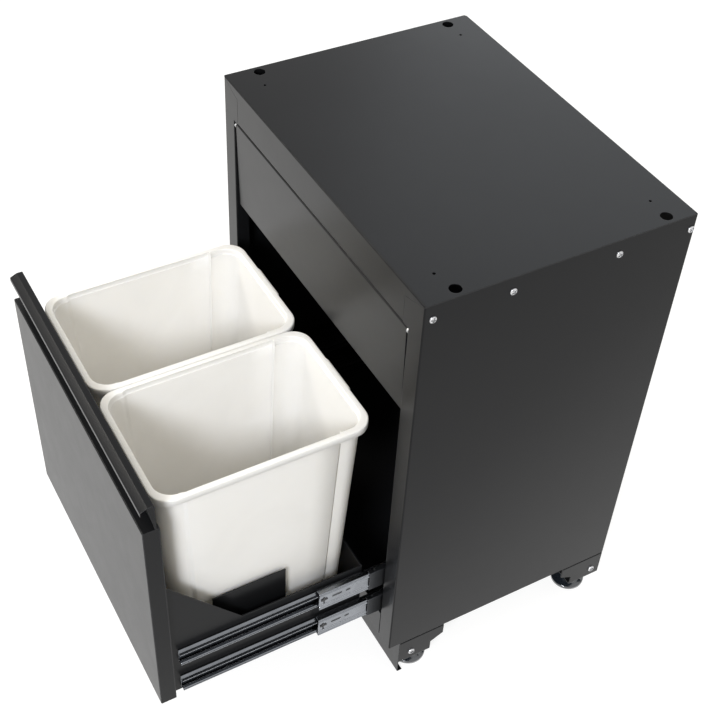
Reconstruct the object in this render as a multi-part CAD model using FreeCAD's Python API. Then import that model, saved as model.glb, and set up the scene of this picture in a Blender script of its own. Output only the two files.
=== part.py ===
import FreeCAD, Part
import math
import os

from FreeCAD import Vector

# A free-standing sheet-steel cabinet with a pull-out drawer that holds two waste bins, and a swing
# flap above the drawer. Millimetres. The origin is the centre of the carcass footprint on the
# ground, +Z is up, the front faces -Y and +X is to the right as seen from the front. The drawer is
# drawn pulled out. Pieces of the left side mirror those of the right side.

# ---------------------------------------------------------------- carcass
width = 680.0              # over the side panels
depth = 503.0              # face of the stiles to the rear face
height = 960.0             # ground to top
base_height = 98.0         # ground to the underside of the side panels
carcass_sheet = 1.5
carcass_bend = 1.0         # inner radius of the bends
seam = 0.8                 # open slit where two cut edges meet on a face
fit_gap = 0.3              # play between panels slid into each other
cut_margin = 1.0           # how far a cutting shape runs past what it cuts

band_height = 70.0         # front flange of the top panel
band_lip = 14.0            # its lower edge, turned back
top_side_flange = 48.0     # flange inside each side panel
top_rear_flange = 30.0
stile_width = 39.0         # front return of a side panel, beside the opening
stile_return = 25.0        # its inner edge, turned back
stile_head_width = 54.0    # width of the stile beside the band
mitre_drop = 19.0          # fall of the slanted slit over that width
rear_return = 25.0
side_foot_flange = 30.0    # lower edge of a side panel, turned in
corner_notch = 4.0         # bend relief at the rear corners of the top
rail_height = 66.0         # front flange of the floor panel
rail_lip = 20.0
floor_side_flange = 50.0

corner_hole_radius = 10.5  # large holes near the corners of the top
corner_hole_inset = 16.5   # from the side
corner_hole_front = 61.3   # from the front
corner_hole_rear = 51.4    # from the rear
small_hole_radius = 2.8
small_hole_inset = 59.0
small_hole_front = 50.8
small_hole_rear = 49.9

# ---------------------------------------------------------------- plinth, foot brackets and feet
plinth_setback = 24.0
plinth_clearance = 4.0     # above the ground
plinth_lip = 11.0
plinth_ear_length = 45.0
plinth_ear_height = 50.0
bracket_sheet = 2.0
bracket_bend = 3.0
bracket_length = 97.5
bracket_underside = 31.0   # lower face above the ground
bracket_top_flange = 60.0
bracket_bottom_flange = 70.0
bracket_front_flange = 40.0
bracket_rear_gap = 1.5     # rear bracket to the rear face
bracket_wing = 27.0        # the rear end of a bracket, without its lower flange
bracket_wing_low = 26.0    # height of the wing's lower corner over the bracket's lower face
bracket_wing_high = 39.5   # and of its far corner
front_bolt_inset = 26.5    # from the end of the bracket
rear_bolt_inset = 21.0
bracket_bolt_height = 56.0
foot_inset = 36.4          # spindle from the side
foot_gap = 1.0             # disc behind the plinth's lower fold
foot_radius = 34.0
foot_rim = 6.0             # height of the disc's straight edge
foot_rim_bevel = 2.0
foot_hub_radius = 11.0
foot_height = 22.0         # ground to the top of the hub
foot_hub_bevel = 5.0
foot_socket_depth = 14.0
spindle_radius = 5.0
spindle_top = 76.0         # height above the ground
spindle_chamfer = 1.0
spindle_play = 0.08

# ---------------------------------------------------------------- screws and bolts
panel_screw_radius = 2.5
panel_screw_head = 6.2     # head radius
panel_screw_rise = 3.4     # head height
panel_screw_length = 12.0
panel_screw_recess = 1.8
panel_screw_cross = 1.3
pan_rounding = 0.45        # rounded part of a pan head's height
cross_share = 0.6          # reach of the cross recess over the head radius
panel_screw_drop = 29.0    # side screws under the top face
panel_screw_front = (15.5, 156.0)                  # side screws from the front
panel_screw_rear = (149.5, 8.2)                    # and from the rear
rear_screw_rise = 2.0
rear_screw_margin = 60.0   # end screws from the ends of the return
bolt_radius = 4.0
bolt_head_radius = 6.8
bolt_head_rise = 4.4
button_rounding = 0.4      # rounded part of a bolt head's height
bolt_socket_radius = 2.9
bolt_socket_depth = 3.0
bolt_length = 14.0
nut_flats_radius = 8.0
nut_height = 8.0
bolt_nut_height = 6.5
hole_play = 0.25           # radial play of a screw in a plain hole

# ---------------------------------------------------------------- drawer front and handle
pull_short = 12.4          # the drawer comes out by this much less than the slides' length
drawer_sheet = 1.2
drawer_bend = 0.8
front_gap = 5.2            # drawer front to each side of the opening
front_lower_gap = 10.0     # drawer front to the rail
handle_gap = 6.0           # handle to the flap above it, drawer closed
front_depth = 27.6         # of the drawer front's side edges
handle_rise = 55.5         # ledge to the top of the handle
handle_stand = 23.6        # handle web behind the face
handle_flat = 11.0         # flat top of the handle
handle_chamfer_drop = 6.0
handle_lip = 8.0           # lip below the chamfer
gusset_top = 12.5          # width of the gussets that close the ends of the handle

# ---------------------------------------------------------------- tray and bin retainers
tray_rear = 37.0           # rear wall to the plane of the carcass front, drawer pulled out
tray_clearance = 8.0       # over the rail
tray_wall = 139.0          # height of the side and rear walls
tray_cheek_height = 302.5  # height of the side walls at the drawer front
tray_cheek_run = 133.0     # length of the sloping top
tray_cheek_flat = 3.0
tray_foot = 18.0           # inward flange under the floor
tray_front_flange = 16.0
tray_rear_flange = 14.0
tray_hem = 7.0             # folded top edge of the walls
retainer_sheet = 2.0
retainer_gap = 22.0        # side wall to the retainer plate
retainer_front = 120.6     # from the drawer's face
retainer_length = 138.5
retainer_height = 185.6
retainer_foot = 15.0
front_screw_radius = 2.0
front_screw_head = 4.0
front_screw_rise = 2.0
front_screw_length = 6.0
front_screw_heights = (40.0, 150.0, 260.0)         # over the tray's underside

# ---------------------------------------------------------------- slides
slide_thickness = 19.0
slide_front = 43.6         # cabinet member behind the carcass front
slide_rear = 9.4           # and before its rear face
slide_heights = {"upper": 103.5, "lower": 24.5}    # centre lines over the tray's underside
slide_sheet = 1.5
slide_bend = 0.8
cabinet_member_height = 53.0
cabinet_member_flange = 14.0
middle_member_play = 7.0   # its height less than the cabinet member's
middle_member_flange = 13.0
middle_member_offset = 3.0  # its web from the cabinet member's outer face
middle_member_short = 10.0  # shorter than the other members
middle_start = 45.0        # front end behind the carcass front, drawer closed
middle_share = 0.4         # part of the drawer's travel
drawer_member_play = 11.0  # its height less than the middle member's
drawer_member_gap = 7.0    # its flanges to the cabinet member's outer face
drawer_member_stub = 14.8  # its front end behind the liner
outer_ball = 3.175
inner_ball = 4.763
ball_play = 0.05
cage_play = 0.25           # ball in its cage
outer_cage_sheet = 0.8
outer_cage_length = 300.0
outer_cage_start = 58.5    # behind the carcass front, drawer closed
inner_cage_sheet = 1.0
inner_cage_gap = 0.5       # to the middle member's web
inner_cage_length = 170.0
inner_cage_start = 188.0
ball_depth_outer = 8.0     # ball centres from the cabinet member's outer face
ball_depth_inner = 11.0
balls_per_row = 8
cage_end_margin = 12.0
cage_edge = 1.0            # sheet beyond the ball holes
middle_slots = ((28.0, 45.0), (53.0, 63.0))        # from its front end
middle_slot_height = 3.0
middle_slot_rise = 3.0     # over the centre line
middle_hole_inset = 11.0
middle_hole_drop = 14.0
middle_hole_radius = 2.0
lever_start = 3.0          # from the front end of the middle member
lever_length = 9.5
lever_height = 6.0
lever_thickness = 0.9
lever_rise = 3.0
lever_thumb = 3.0
slide_bracket_width = 40.0
slide_bracket_foot = 15.0
slide_bracket_height = 150.0
slide_bracket_inset = 16.4  # front brackets behind the slide's front end, rear ones before its rear end
slide_screw_radius = 2.5
slide_screw_head = 4.0
slide_screw_length = 8.0

# ---------------------------------------------------------------- flap
flap_top_gap = 4.0         # under the band
flap_height = 180.0
flap_sheet = 1.2
flap_bend = 1.2
flap_end_gap = 5.0         # flap to each side of the opening
flap_return = 12.0         # folded edges at the sides and bottom
flap_top_return = 8.0
flap_tilt = 1.4            # degrees, lower edge inwards
flap_face_setback = 1.0    # top of its face behind the carcass front
flap_pivot_drop = 6.0      # pivot under the flap's top edge
flap_pin_radius = 2.0
flap_pin_play = 0.06
flap_pin_length = 11.0     # from the stile towards the flap
flap_pin_collar = 4.2
flap_pin_collar_length = 4.0
flap_pin_shank = 9.0       # behind the stile's inner edge

# ---------------------------------------------------------------- bins
bin_gap = 3.0              # between the two rims
bin_side_gap = 18.5        # rim to the outside of the tray's side wall
bin_front = 36.1           # front of the rim behind the drawer's face
bin_overhang = 19.5        # rim past the tray's rear wall
bin_rise = 8.5             # rim over the ledge of the drawer front
bin_wall = 3.0
bin_rim_radius = 35.0
bin_rim_sheet = 3.0
bin_rim_edge = 1.3         # rounding of the rim's upper edge
bin_skirt = 14.0
bin_skirt_wall = 2.5
bin_rim_side = 9.5         # rim beyond the body at the sides and the front
bin_rim_rear = 20.0
bin_draft = 14.0           # each wall leans in by this much over the height
bin_body_radius = 34.0
bin_panel_rise = 4.0       # raised panels on the side walls
bin_panel_slope = 9.0      # length of their sloping edges
bin_crease = 1.0           # rounding where they meet the walls
bin_panel_front = (46.5, 61.5)   # front edge of a panel behind the rim's front, at the top and the bottom
bin_panel_rear = (60.5, 77.5)    # rear edge before the rim's rear, at the top and the bottom
bin_grip_length = 84.0
bin_grip_rise = 2.6
bin_grip_taper = 5.2       # length of its slanted ends

# ---------------------------------------------------------------- planes worked out from the sizes
half = width / 2
front = -depth / 2
rear = depth / 2
under_top = height - carcass_sheet
opening_top = height - band_height
opening_bottom = base_height + rail_height
opening_half = half - stile_width
side_inner = half - carcass_sheet
back_front = rear - 2 * carcass_sheet

slide_plane = opening_half                         # mounting plane of the cabinet members
slide_length = depth - slide_front - slide_rear    # cabinet members and drawer members
middle_member_length = slide_length - middle_member_short
middle_member_height = cabinet_member_height - middle_member_play
drawer_member_height = middle_member_height - drawer_member_play
drawer_member_flange = slide_thickness - drawer_member_gap
pull = slide_length - pull_short                   # the drawer is drawn pulled out by this much

face = front - pull                                # outer face of the drawer front
front_half = opening_half - front_gap
front_low = opening_bottom + front_lower_gap
front_high = opening_top - flap_top_gap - flap_height - handle_gap - handle_rise
liner_rear = face + front_depth + drawer_sheet
tray_half = slide_plane - slide_thickness
tray_low = opening_bottom + tray_clearance
tray_top = tray_low + 2 * drawer_sheet             # upper face of the tray floor
tray_end = front - tray_rear
slide_levels = {name: tray_low + rise for name, rise in slide_heights.items()}

bin_width = tray_half - bin_side_gap - bin_gap / 2  # over the rim
bin_depth = tray_end + bin_overhang - face - bin_front
bin_height = front_high + bin_rise - tray_top

foot_x = half - foot_inset
front_bracket_start = front + plinth_setback + carcass_sheet
rear_bracket_end = rear - bracket_rear_gap
foot_setback = plinth_lip - carcass_sheet + foot_gap + foot_radius   # spindle from the bracket's end
front_foot_y = front_bracket_start + foot_setback
rear_foot_y = rear_bracket_end - foot_setback


# ---------------------------------------------------------------- drawing helpers
def box(x0, x1, y0, y1, z0, z1):
    """A box between two limits on each axis."""
    return Part.makeBox(x1 - x0, y1 - y0, z1 - z0, Vector(x0, y0, z0))


def spot(axis, u, v, w):
    """The point at (u, v) in the plane across an axis, and at w along it."""
    return {"x": Vector(w, u, v), "y": Vector(u, w, v), "z": Vector(u, v, w)}[axis]


def raised(wire, axis, length):
    """The solid between a flat wire and its copy further along the axis."""
    return Part.Face(wire).extrude(spot(axis, 0, 0, length))


def prism(axis, points, start, end):
    """A polygon across an axis, drawn out between two places on it."""
    corners = [spot(axis, u, v, start) for u, v in points]
    return raised(Part.makePolygon(corners + corners[:1]), axis, end - start)


def rod(axis, radius, u, v, start, end):
    """A round bar along an axis, centred at (u, v) across it."""
    return Part.makeCylinder(radius, end - start, spot(axis, u, v, start), spot(axis, 0, 0, 1))


def fused(*shapes):
    """One solid from overlapping or touching ones, without seam lines."""
    return shapes[0].multiFuse(list(shapes[1:])).removeSplitter().Solids[0]


def mirrored(shape):
    """The left-hand counterpart of a right-hand shape."""
    return shape.mirror(Vector(0, 0, 0), Vector(1, 0, 0))


def aimed(shape, point, direction):
    """A copy of a shape drawn along +Z, set at a point and turned to a direction."""
    turned = shape.copy()
    turned.Placement = FreeCAD.Placement(point, FreeCAD.Rotation(Vector(0, 0, 1), direction))
    return turned


def headings(points):
    """Unit direction of each stretch of a path."""
    steps = [(b[0] - a[0], b[1] - a[1]) for a, b in zip(points, points[1:])]
    return [(du / math.hypot(du, dv), dv / math.hypot(du, dv)) for du, dv in steps]


def offset_path(points, distance):
    """The path moved to its left, mitred at the corners."""
    ways = headings(points)
    moved = []
    for index, (u, v) in enumerate(points):
        before = ways[max(index - 1, 0)]
        after = ways[min(index, len(ways) - 1)]
        share = distance / (1 + before[0] * after[0] + before[1] * after[1])
        moved.append((u - (before[1] + after[1]) * share, v + (before[0] + after[0]) * share))
    return moved


def rounded_edges(axis, level, points, radii):
    """Edges along a path, with an arc of the given radius at each inner corner."""
    ways = headings(points)
    edges = []
    last = points[0]
    for index in range(1, len(points) - 1):
        (u, v), before, after = points[index], ways[index - 1], ways[index]
        turn = math.atan2(before[0] * after[1] - before[1] * after[0],
                          before[0] * after[0] + before[1] * after[1])
        radius = radii[index]
        reach = radius * math.tan(abs(turn) / 2)
        side = math.copysign(radius, turn)
        begin = (u - before[0] * reach, v - before[1] * reach)
        end = (u + after[0] * reach, v + after[1] * reach)
        centre = (begin[0] - before[1] * side, begin[1] + before[0] * side)
        away = math.hypot(u - centre[0], v - centre[1])
        middle = (centre[0] + (u - centre[0]) * radius / away, centre[1] + (v - centre[1]) * radius / away)
        edges.append(Part.makeLine(spot(axis, *last, level), spot(axis, *begin, level)))
        edges.append(Part.Arc(*(spot(axis, *p, level) for p in (begin, middle, end))).toShape())
        last = end
    edges.append(Part.makeLine(spot(axis, *last, level), spot(axis, *points[-1], level)))
    return edges


def bent(axis, path, start, end, sheet, bend):
    """Folded sheet whose outer face follows a path across an axis; the sheet lies to its left."""
    ways = headings(path)
    turns = [0] + [a[0] * b[1] - a[1] * b[0] for a, b in zip(ways, ways[1:])] + [0]
    outer = [bend + sheet if turn > 0 else bend for turn in turns]
    inner = [bend if turn > 0 else bend + sheet for turn in turns]
    other = offset_path(path, sheet)
    edges = rounded_edges(axis, start, path, outer)
    edges.append(Part.makeLine(spot(axis, *path[-1], start), spot(axis, *other[-1], start)))
    edges += rounded_edges(axis, start, other[::-1], inner[::-1])
    edges.append(Part.makeLine(spot(axis, *other[0], start), spot(axis, *path[0], start)))
    return raised(Part.Wire(edges), axis, end - start)


def pan_screw(head_radius, rise, radius, length, recess, cross):
    """A round-headed screw with a cross recess; the head sits on z = 0 and the shank hangs below."""
    head = rod("z", head_radius, 0, 0, 0, rise)
    head = head.makeFillet(rise * pan_rounding,
                           [edge for edge in head.Edges if edge.BoundBox.ZMin > rise / 2])
    arm = head_radius * cross_share
    slots = fused(box(-arm, arm, -cross / 2, cross / 2, rise - recess, rise),
                  box(-cross / 2, cross / 2, -arm, arm, rise - recess, rise))
    return fused(head, rod("z", radius, 0, 0, -length, 0)).cut(slots)


def hexagon(radius, z0, z1):
    """A six-sided bar round the Z axis."""
    corners = [(radius * math.cos(math.radians(a)), radius * math.sin(math.radians(a)))
               for a in range(0, 360, 60)]
    return prism("z", corners, z0, z1)


def socket_bolt():
    """A button-headed bolt with a hexagon socket; the head sits on z = 0."""
    head = rod("z", bolt_head_radius, 0, 0, 0, bolt_head_rise)
    head = head.makeFillet(bolt_head_rise * button_rounding,
                           [edge for edge in head.Edges if edge.BoundBox.ZMin > bolt_head_rise / 2])
    socket = hexagon(bolt_socket_radius, bolt_head_rise - bolt_socket_depth, bolt_head_rise)
    return fused(head, rod("z", bolt_radius, 0, 0, -bolt_length, 0)).cut(socket)


def weld_nut(bore, nut_rise):
    """A six-sided nut on z = 0, bored for its bolt."""
    return hexagon(nut_flats_radius, 0, nut_rise).cut(rod("z", bore, 0, 0, 0, nut_rise))


# ---------------------------------------------------------------- carcass panels
def top_panel():
    """Top with a front band, side flanges inside the side panels and a rear flange."""
    path = [(rear, height - top_rear_flange), (rear, height), (front, height),
            (front, opening_top), (front + band_lip, opening_top)]
    panel = bent("x", path, -half, half, carcass_sheet, carcass_bend)
    flange = box(side_inner - carcass_sheet, side_inner, front + 2 * carcass_sheet,
                 back_front - fit_gap, under_top - top_side_flange, under_top)
    panel = fused(panel, flange, mirrored(flange))
    head = half - stile_head_width
    reach = carcass_sheet + band_lip
    past, below = half + cut_margin, opening_top - cut_margin
    band_end = prism("y", [(past, under_top), (half, under_top), (head, height - mitre_drop),
                           (head, below), (past, below)],
                     front, front + carcass_sheet + fit_gap)
    lip_end = box(head, half, front, front + reach, opening_top, opening_top + 2 * carcass_sheet)
    rear_end = box(half - rear_return - seam, half, rear - carcass_sheet, rear,
                   base_height, under_top)
    notch = box(half - corner_notch, half, rear - corner_notch, rear, base_height, height)
    for cutter in (band_end, lip_end, rear_end, notch):
        panel = panel.cut(cutter).cut(mirrored(cutter))
    for x, y, radius in top_holes():
        panel = panel.cut(rod("z", radius, x, y, under_top, height))
    for y in panel_screw_places():
        bore = rod("x", panel_screw_radius + hole_play, y, height - panel_screw_drop,
                   side_inner - carcass_sheet, side_inner)
        panel = panel.cut(bore).cut(mirrored(bore))
    return panel


def top_holes():
    """Centre and radius of each hole in the top."""
    holes = []
    for side in (-1, 1):
        large = side * (half - corner_hole_inset)
        small = side * (half - small_hole_inset)
        holes += [(large, front + corner_hole_front, corner_hole_radius),
                  (large, rear - corner_hole_rear, corner_hole_radius),
                  (small, front + small_hole_front, small_hole_radius),
                  (small, rear - small_hole_rear, small_hole_radius)]
    return holes


def panel_screw_places():
    """Y of the screws in each side."""
    return [front + y for y in panel_screw_front] + [rear - y for y in panel_screw_rear]


def rear_screw_heights():
    """Heights of the screws in each rear return."""
    low = base_height + rear_screw_margin
    high = under_top - rear_screw_margin
    return (low, (low + high) / 2, high)


def side_panel():
    """Right side, folded into a front stile and a rear return."""
    path = [(opening_half, front + stile_return), (opening_half, front), (half, front),
            (half, rear), (half - rear_return, rear)]
    panel = bent("z", path, base_height, under_top, carcass_sheet, carcass_bend)
    head = box(half - stile_head_width + seam, opening_half + stile_width / 2, front,
               front + carcass_sheet, opening_top, height - seam)
    foot = box(side_inner - side_foot_flange, side_inner, front + stile_return + fit_gap,
               back_front - fit_gap, base_height, base_height + carcass_sheet)
    panel = fused(panel, head, foot)
    past, above = half + cut_margin, height + cut_margin
    slit = prism("y", [(past, under_top - seam), (half, under_top - seam),
                       (half - stile_head_width, height - mitre_drop - seam),
                       (half - stile_head_width, above), (past, above)],
                 front, front + carcass_sheet + carcass_bend)
    panel = panel.cut(slit)
    for y in panel_screw_places():
        panel = panel.cut(rod("x", panel_screw_radius + hole_play, y,
                              height - panel_screw_drop, side_inner, half))
    for z in rear_screw_heights():
        panel = panel.cut(rod("y", panel_screw_radius + hole_play, half - rear_return / 2, z,
                              rear - carcass_sheet, rear))
    return panel.cut(flap_pin_hole())


def back_panel():
    """Flat sheet behind the rear returns."""
    edge = side_inner - carcass_bend
    panel = box(-edge, edge, back_front, rear - carcass_sheet, base_height, under_top - carcass_bend)
    for z in rear_screw_heights():
        bore = rod("y", panel_screw_radius + hole_play, half - rear_return / 2, z,
                   back_front, rear - carcass_sheet)
        panel = panel.cut(bore).cut(mirrored(bore))
    return panel


def floor_panel():
    """Floor with the rail as its front flange; it runs between the stiles at the front."""
    rail_half = opening_half - fit_gap
    path = [(back_front, opening_bottom), (front, opening_bottom), (front, base_height),
            (front + rail_lip, base_height)]
    panel = bent("x", path, -rail_half, rail_half, carcass_sheet, carcass_bend)
    wings = box(-side_inner, side_inner, front + stile_return + fit_gap, back_front,
                opening_bottom - carcass_sheet, opening_bottom)
    flange = box(side_inner - carcass_sheet, side_inner, front + stile_return + fit_gap,
                 back_front, opening_bottom - floor_side_flange, opening_bottom)
    return fused(panel, wings, flange, mirrored(flange))


def panel_screws():
    """Screws through the sides into the flanges of the top."""
    screw = pan_screw(panel_screw_head, panel_screw_rise, panel_screw_radius, panel_screw_length,
                      panel_screw_recess, panel_screw_cross)
    return Part.makeCompound([aimed(screw, Vector(side * half, y, height - panel_screw_drop),
                                    Vector(side, 0, 0))
                              for side in (-1, 1) for y in panel_screw_places()])


def rear_screws():
    """Screws through the rear returns into the back panel."""
    screw = pan_screw(panel_screw_head, rear_screw_rise, panel_screw_radius, panel_screw_length,
                      rear_screw_rise / 2, panel_screw_cross)
    return Part.makeCompound([aimed(screw, Vector(side * (half - rear_return / 2), rear, z),
                                    Vector(0, 1, 0))
                              for side in (-1, 1) for z in rear_screw_heights()])


# ---------------------------------------------------------------- plinth, foot brackets and feet
def plinth_panel():
    """Set-back plinth with a folded lower edge and an ear at each end for the bracket bolt."""
    path = [(front + plinth_setback, base_height), (front + plinth_setback, plinth_clearance),
            (front + plinth_setback + plinth_lip, plinth_clearance)]
    panel = bent("x", path, -half, half, carcass_sheet, carcass_bend)
    outer = half - bracket_sheet
    low = bracket_underside + bracket_sheet + bracket_bend
    ear = box(outer - carcass_sheet, outer, front_bracket_start - carcass_sheet,
              front_bracket_start + plinth_ear_length, low, low + plinth_ear_height)
    ear = ear.cut(rod("x", bolt_radius + hole_play, front_bracket_start + front_bolt_inset,
                      bracket_bolt_height, outer - carcass_sheet, outer))
    return fused(panel, ear, mirrored(ear))


def foot_bracket(bolt_inset):
    """Right front bracket with its end at y = 0 and its wing towards +Y."""
    path = [(half - bracket_bottom_flange, bracket_underside), (half, bracket_underside),
            (half, base_height), (half - bracket_top_flange, base_height)]
    bracket = bent("y", path, 0, bracket_length, bracket_sheet, bracket_bend)
    wing = bracket_length - bracket_wing
    under_wing = prism("x", [(wing, 0), (wing, bracket_underside + bracket_wing_low),
                             (bracket_length, bracket_underside + bracket_wing_high),
                             (bracket_length, 0)],
                       half - bracket_bottom_flange, half)
    bracket = bracket.cut(under_wing)
    outer = half - bracket_sheet
    inner = outer - carcass_sheet - fit_gap
    end_flange = box(half - bracket_front_flange, inner, 0, bracket_sheet,
                     bracket_underside + bracket_sheet, base_height - bracket_sheet)
    bracket = fused(bracket, end_flange)
    bracket = bracket.cut(rod("x", bolt_radius + hole_play, bolt_inset, bracket_bolt_height,
                              outer, half))
    return bracket.cut(rod("z", spindle_radius + spindle_play, foot_x, foot_setback,
                           bracket_underside, bracket_underside + bracket_sheet))


def front_bracket():
    """Front bracket, behind the plinth."""
    return foot_bracket(front_bolt_inset).translated(Vector(0, front_bracket_start, 0))


def rear_bracket():
    """Rear bracket, the mirror image of a front one."""
    turned = foot_bracket(rear_bolt_inset).mirror(Vector(0, 0, 0), Vector(0, 1, 0))
    return turned.translated(Vector(0, rear_bracket_end, 0))


def bolt_places():
    """Y of the bracket bolts, and the sheet that each one's nut is welded to."""
    return ((front_bracket_start + front_bolt_inset, bracket_sheet + carcass_sheet),
            (rear_bracket_end - rear_bolt_inset, bracket_sheet))


def bracket_bolts():
    """One bolt in each foot bracket."""
    return Part.makeCompound([aimed(socket_bolt(), Vector(side * half, y, bracket_bolt_height),
                                    Vector(side, 0, 0))
                              for side in (-1, 1) for y, _ in bolt_places()])


def weld_nuts():
    """Nuts for the bracket bolts and for the spindles of the feet."""
    nuts = []
    for side in (-1, 1):
        for y, sheets in bolt_places():
            nuts.append(aimed(weld_nut(bolt_radius, bolt_nut_height),
                              Vector(side * (half - sheets), y, bracket_bolt_height),
                              Vector(-side, 0, 0)))
        for y in (front_foot_y, rear_foot_y):
            nuts.append(weld_nut(spindle_radius + spindle_play, nut_height).translated(
                Vector(side * foot_x, y, bracket_underside + bracket_sheet)))
    return Part.makeCompound(nuts)


def foot_disc(x, y):
    """Conical disc with a socket for the spindle."""
    profile = [(0, 0), (foot_radius, 0), (foot_radius, foot_rim),
               (foot_radius - foot_rim_bevel, foot_rim + foot_rim_bevel),
               (foot_hub_radius + foot_hub_bevel, foot_height - foot_hub_bevel),
               (foot_hub_radius, foot_height), (0, foot_height)]
    corners = [Vector(r, 0, z) for r, z in profile]
    disc = Part.Face(Part.makePolygon(corners + corners[:1])).revolve(Vector(0, 0, 0),
                                                                      Vector(0, 0, 1), 360)
    socket = rod("z", spindle_radius, 0, 0, foot_height - foot_socket_depth, foot_height)
    return disc.cut(socket).translated(Vector(x, y, 0))


def foot_spindle(x, y):
    """Threaded spindle, drawn plain, pressed into its disc."""
    spindle = rod("z", spindle_radius, x, y, foot_height - foot_socket_depth, spindle_top)
    return spindle.makeChamfer(spindle_chamfer, [edge for edge in spindle.Edges
                                                 if edge.BoundBox.ZMin > spindle_top - spindle_chamfer])


# ---------------------------------------------------------------- slides
def channel(web_x, toward, height_over, flange, z, y0, y1):
    """A C-shaped slide member: web at x, flanges towards -X or +X, centred at height z."""
    tip = web_x + toward * flange
    low, high = z - height_over / 2, z + height_over / 2
    if toward < 0:
        path = [(tip, low), (web_x, low), (web_x, high), (tip, high)]
    else:
        path = [(tip, high), (web_x, high), (web_x, low), (tip, low)]
    return bent("y", path, y0, y1, slide_sheet, slide_bend)


def ball_lines(stage):
    """Ball radius, and the X and the height over the centre line of a stage's ball rows."""
    if stage == "outer":
        clear_high = cabinet_member_height / 2 - slide_sheet
        clear_low = middle_member_height / 2
        return outer_ball / 2, slide_plane - ball_depth_outer, (clear_high + clear_low) / 2
    clear_high = middle_member_height / 2 - slide_sheet
    clear_low = drawer_member_height / 2
    return inner_ball / 2, slide_plane - ball_depth_inner, (clear_high + clear_low) / 2


def grooved(member, stage, z, y0, y1):
    """A member with the two running grooves of a stage's balls."""
    radius, x, rise = ball_lines(stage)
    for side in (-1, 1):
        member = member.cut(rod("y", radius + ball_play, x, z + side * rise, y0, y1))
    return member


def slide_screw_places():
    """Y of the screws that hold a cabinet member to its brackets."""
    return tuple((low + high) / 2 for low, high in slide_bracket_places())


def slide_screw(y, z):
    """A countersunk screw through the cabinet member's web into a slide bracket."""
    inner = slide_plane - slide_sheet
    cone = Part.makeCone(slide_screw_head, slide_screw_radius, slide_sheet, Vector(inner, y, z),
                         Vector(1, 0, 0))
    return fused(cone, rod("x", slide_screw_radius, y, z, slide_plane, slide_plane + slide_screw_length))


def cabinet_member(z):
    """Fixed member, screwed to the slide brackets."""
    y0 = front + slide_front
    y1 = y0 + slide_length
    member = channel(slide_plane, -1, cabinet_member_height, cabinet_member_flange, z, y0, y1)
    member = grooved(member, "outer", z, y0, y1)
    for y in slide_screw_places():
        member = member.cut(slide_screw(y, z))
    return member


def middle_front():
    """Front end of the middle members, drawer pulled out."""
    return front + middle_start - middle_share * pull


def middle_member(z):
    """Middle member, with two slots and a hole near its front end."""
    y0 = middle_front()
    y1 = y0 + middle_member_length
    web = slide_plane - middle_member_offset
    member = channel(web, -1, middle_member_height, middle_member_flange, z, y0, y1)
    member = grooved(member, "outer", z, y0, y1)
    member = grooved(member, "inner", z, y0, y1)
    centre = z + middle_slot_rise
    for start, end in middle_slots:
        member = member.cut(box(web - slide_sheet, web, y0 + start, y0 + end,
                                centre - middle_slot_height / 2, centre + middle_slot_height / 2))
    return member.cut(rod("x", middle_hole_radius, y0 + middle_hole_inset, z - middle_hole_drop,
                          web - slide_sheet, web))


def slide_levers():
    """Release lever on the web of each right middle member."""
    web = slide_plane - middle_member_offset
    levers = []
    for z in slide_levels.values():
        y0 = middle_front() + lever_start
        middle = z + lever_rise
        outline = [(y0, middle - lever_height / 2), (y0 + lever_length, middle - lever_height / 4),
                   (y0 + lever_length, middle + lever_height / 4),
                   (y0 + lever_length / 2, middle + lever_height / 2 + lever_thumb),
                   (y0 + lever_length / 4, middle + lever_height / 2)]
        levers.append(prism("x", outline, web, web + lever_thickness))
    return Part.makeCompound(levers)


def drawer_member(z):
    """Member fixed to the tray's side wall."""
    y0 = liner_rear + drawer_member_stub
    y1 = y0 + slide_length
    member = channel(tray_half, 1, drawer_member_height, drawer_member_flange, z, y0, y1)
    return grooved(member, "inner", z, y0, y1)


def ball_places(y0, y1):
    """Y of the balls of one row."""
    first, last = y0 + cage_end_margin, y1 - cage_end_margin
    return [first + (last - first) * index / (balls_per_row - 1) for index in range(balls_per_row)]


def cage_group(stage, web, sheet, y0, length):
    """The cages of a stage on the right, upper and lower, each with its two rows of balls."""
    radius, x, rise = ball_lines(stage)
    tip = x - radius - cage_play - cage_edge
    pieces = []
    for z in slide_levels.values():
        y1 = y0 + length
        low, high = z - rise - sheet / 2, z + rise + sheet / 2
        path = [(tip, low), (web, low), (web, high), (tip, high)]
        cage = bent("y", path, y0, y1, sheet, sheet / 2)
        for y in ball_places(y0, y1):
            cage = cage.cut(rod("z", radius + cage_play, x, y, low, high))
        pieces.append(cage)
        for y in ball_places(y0, y1):
            for side in (-1, 1):
                pieces.append(Part.makeSphere(radius, Vector(x, y, z + side * rise)))
    return Part.makeCompound(pieces)


def outer_cages():
    """Cages between the cabinet members and the middle members; they move half as far as the latter."""
    web = slide_plane - (slide_sheet + middle_member_offset - outer_cage_sheet) / 2
    y0 = front + outer_cage_start - middle_share / 2 * pull
    return cage_group("outer", web, outer_cage_sheet, y0, outer_cage_length)


def inner_cages():
    """Cages between the middle members and the drawer members."""
    web = slide_plane - middle_member_offset - slide_sheet - inner_cage_gap
    y0 = front + inner_cage_start - (1 + middle_share) / 2 * pull
    return cage_group("inner", web, inner_cage_sheet, y0, inner_cage_length)


def slide_bracket_places():
    """Front and rear edges of the front and the rear slide brackets."""
    first = front + slide_front + slide_bracket_inset
    last = front + slide_front + slide_length - slide_bracket_inset
    return ((first, first + slide_bracket_width), (last - slide_bracket_width, last))


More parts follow.
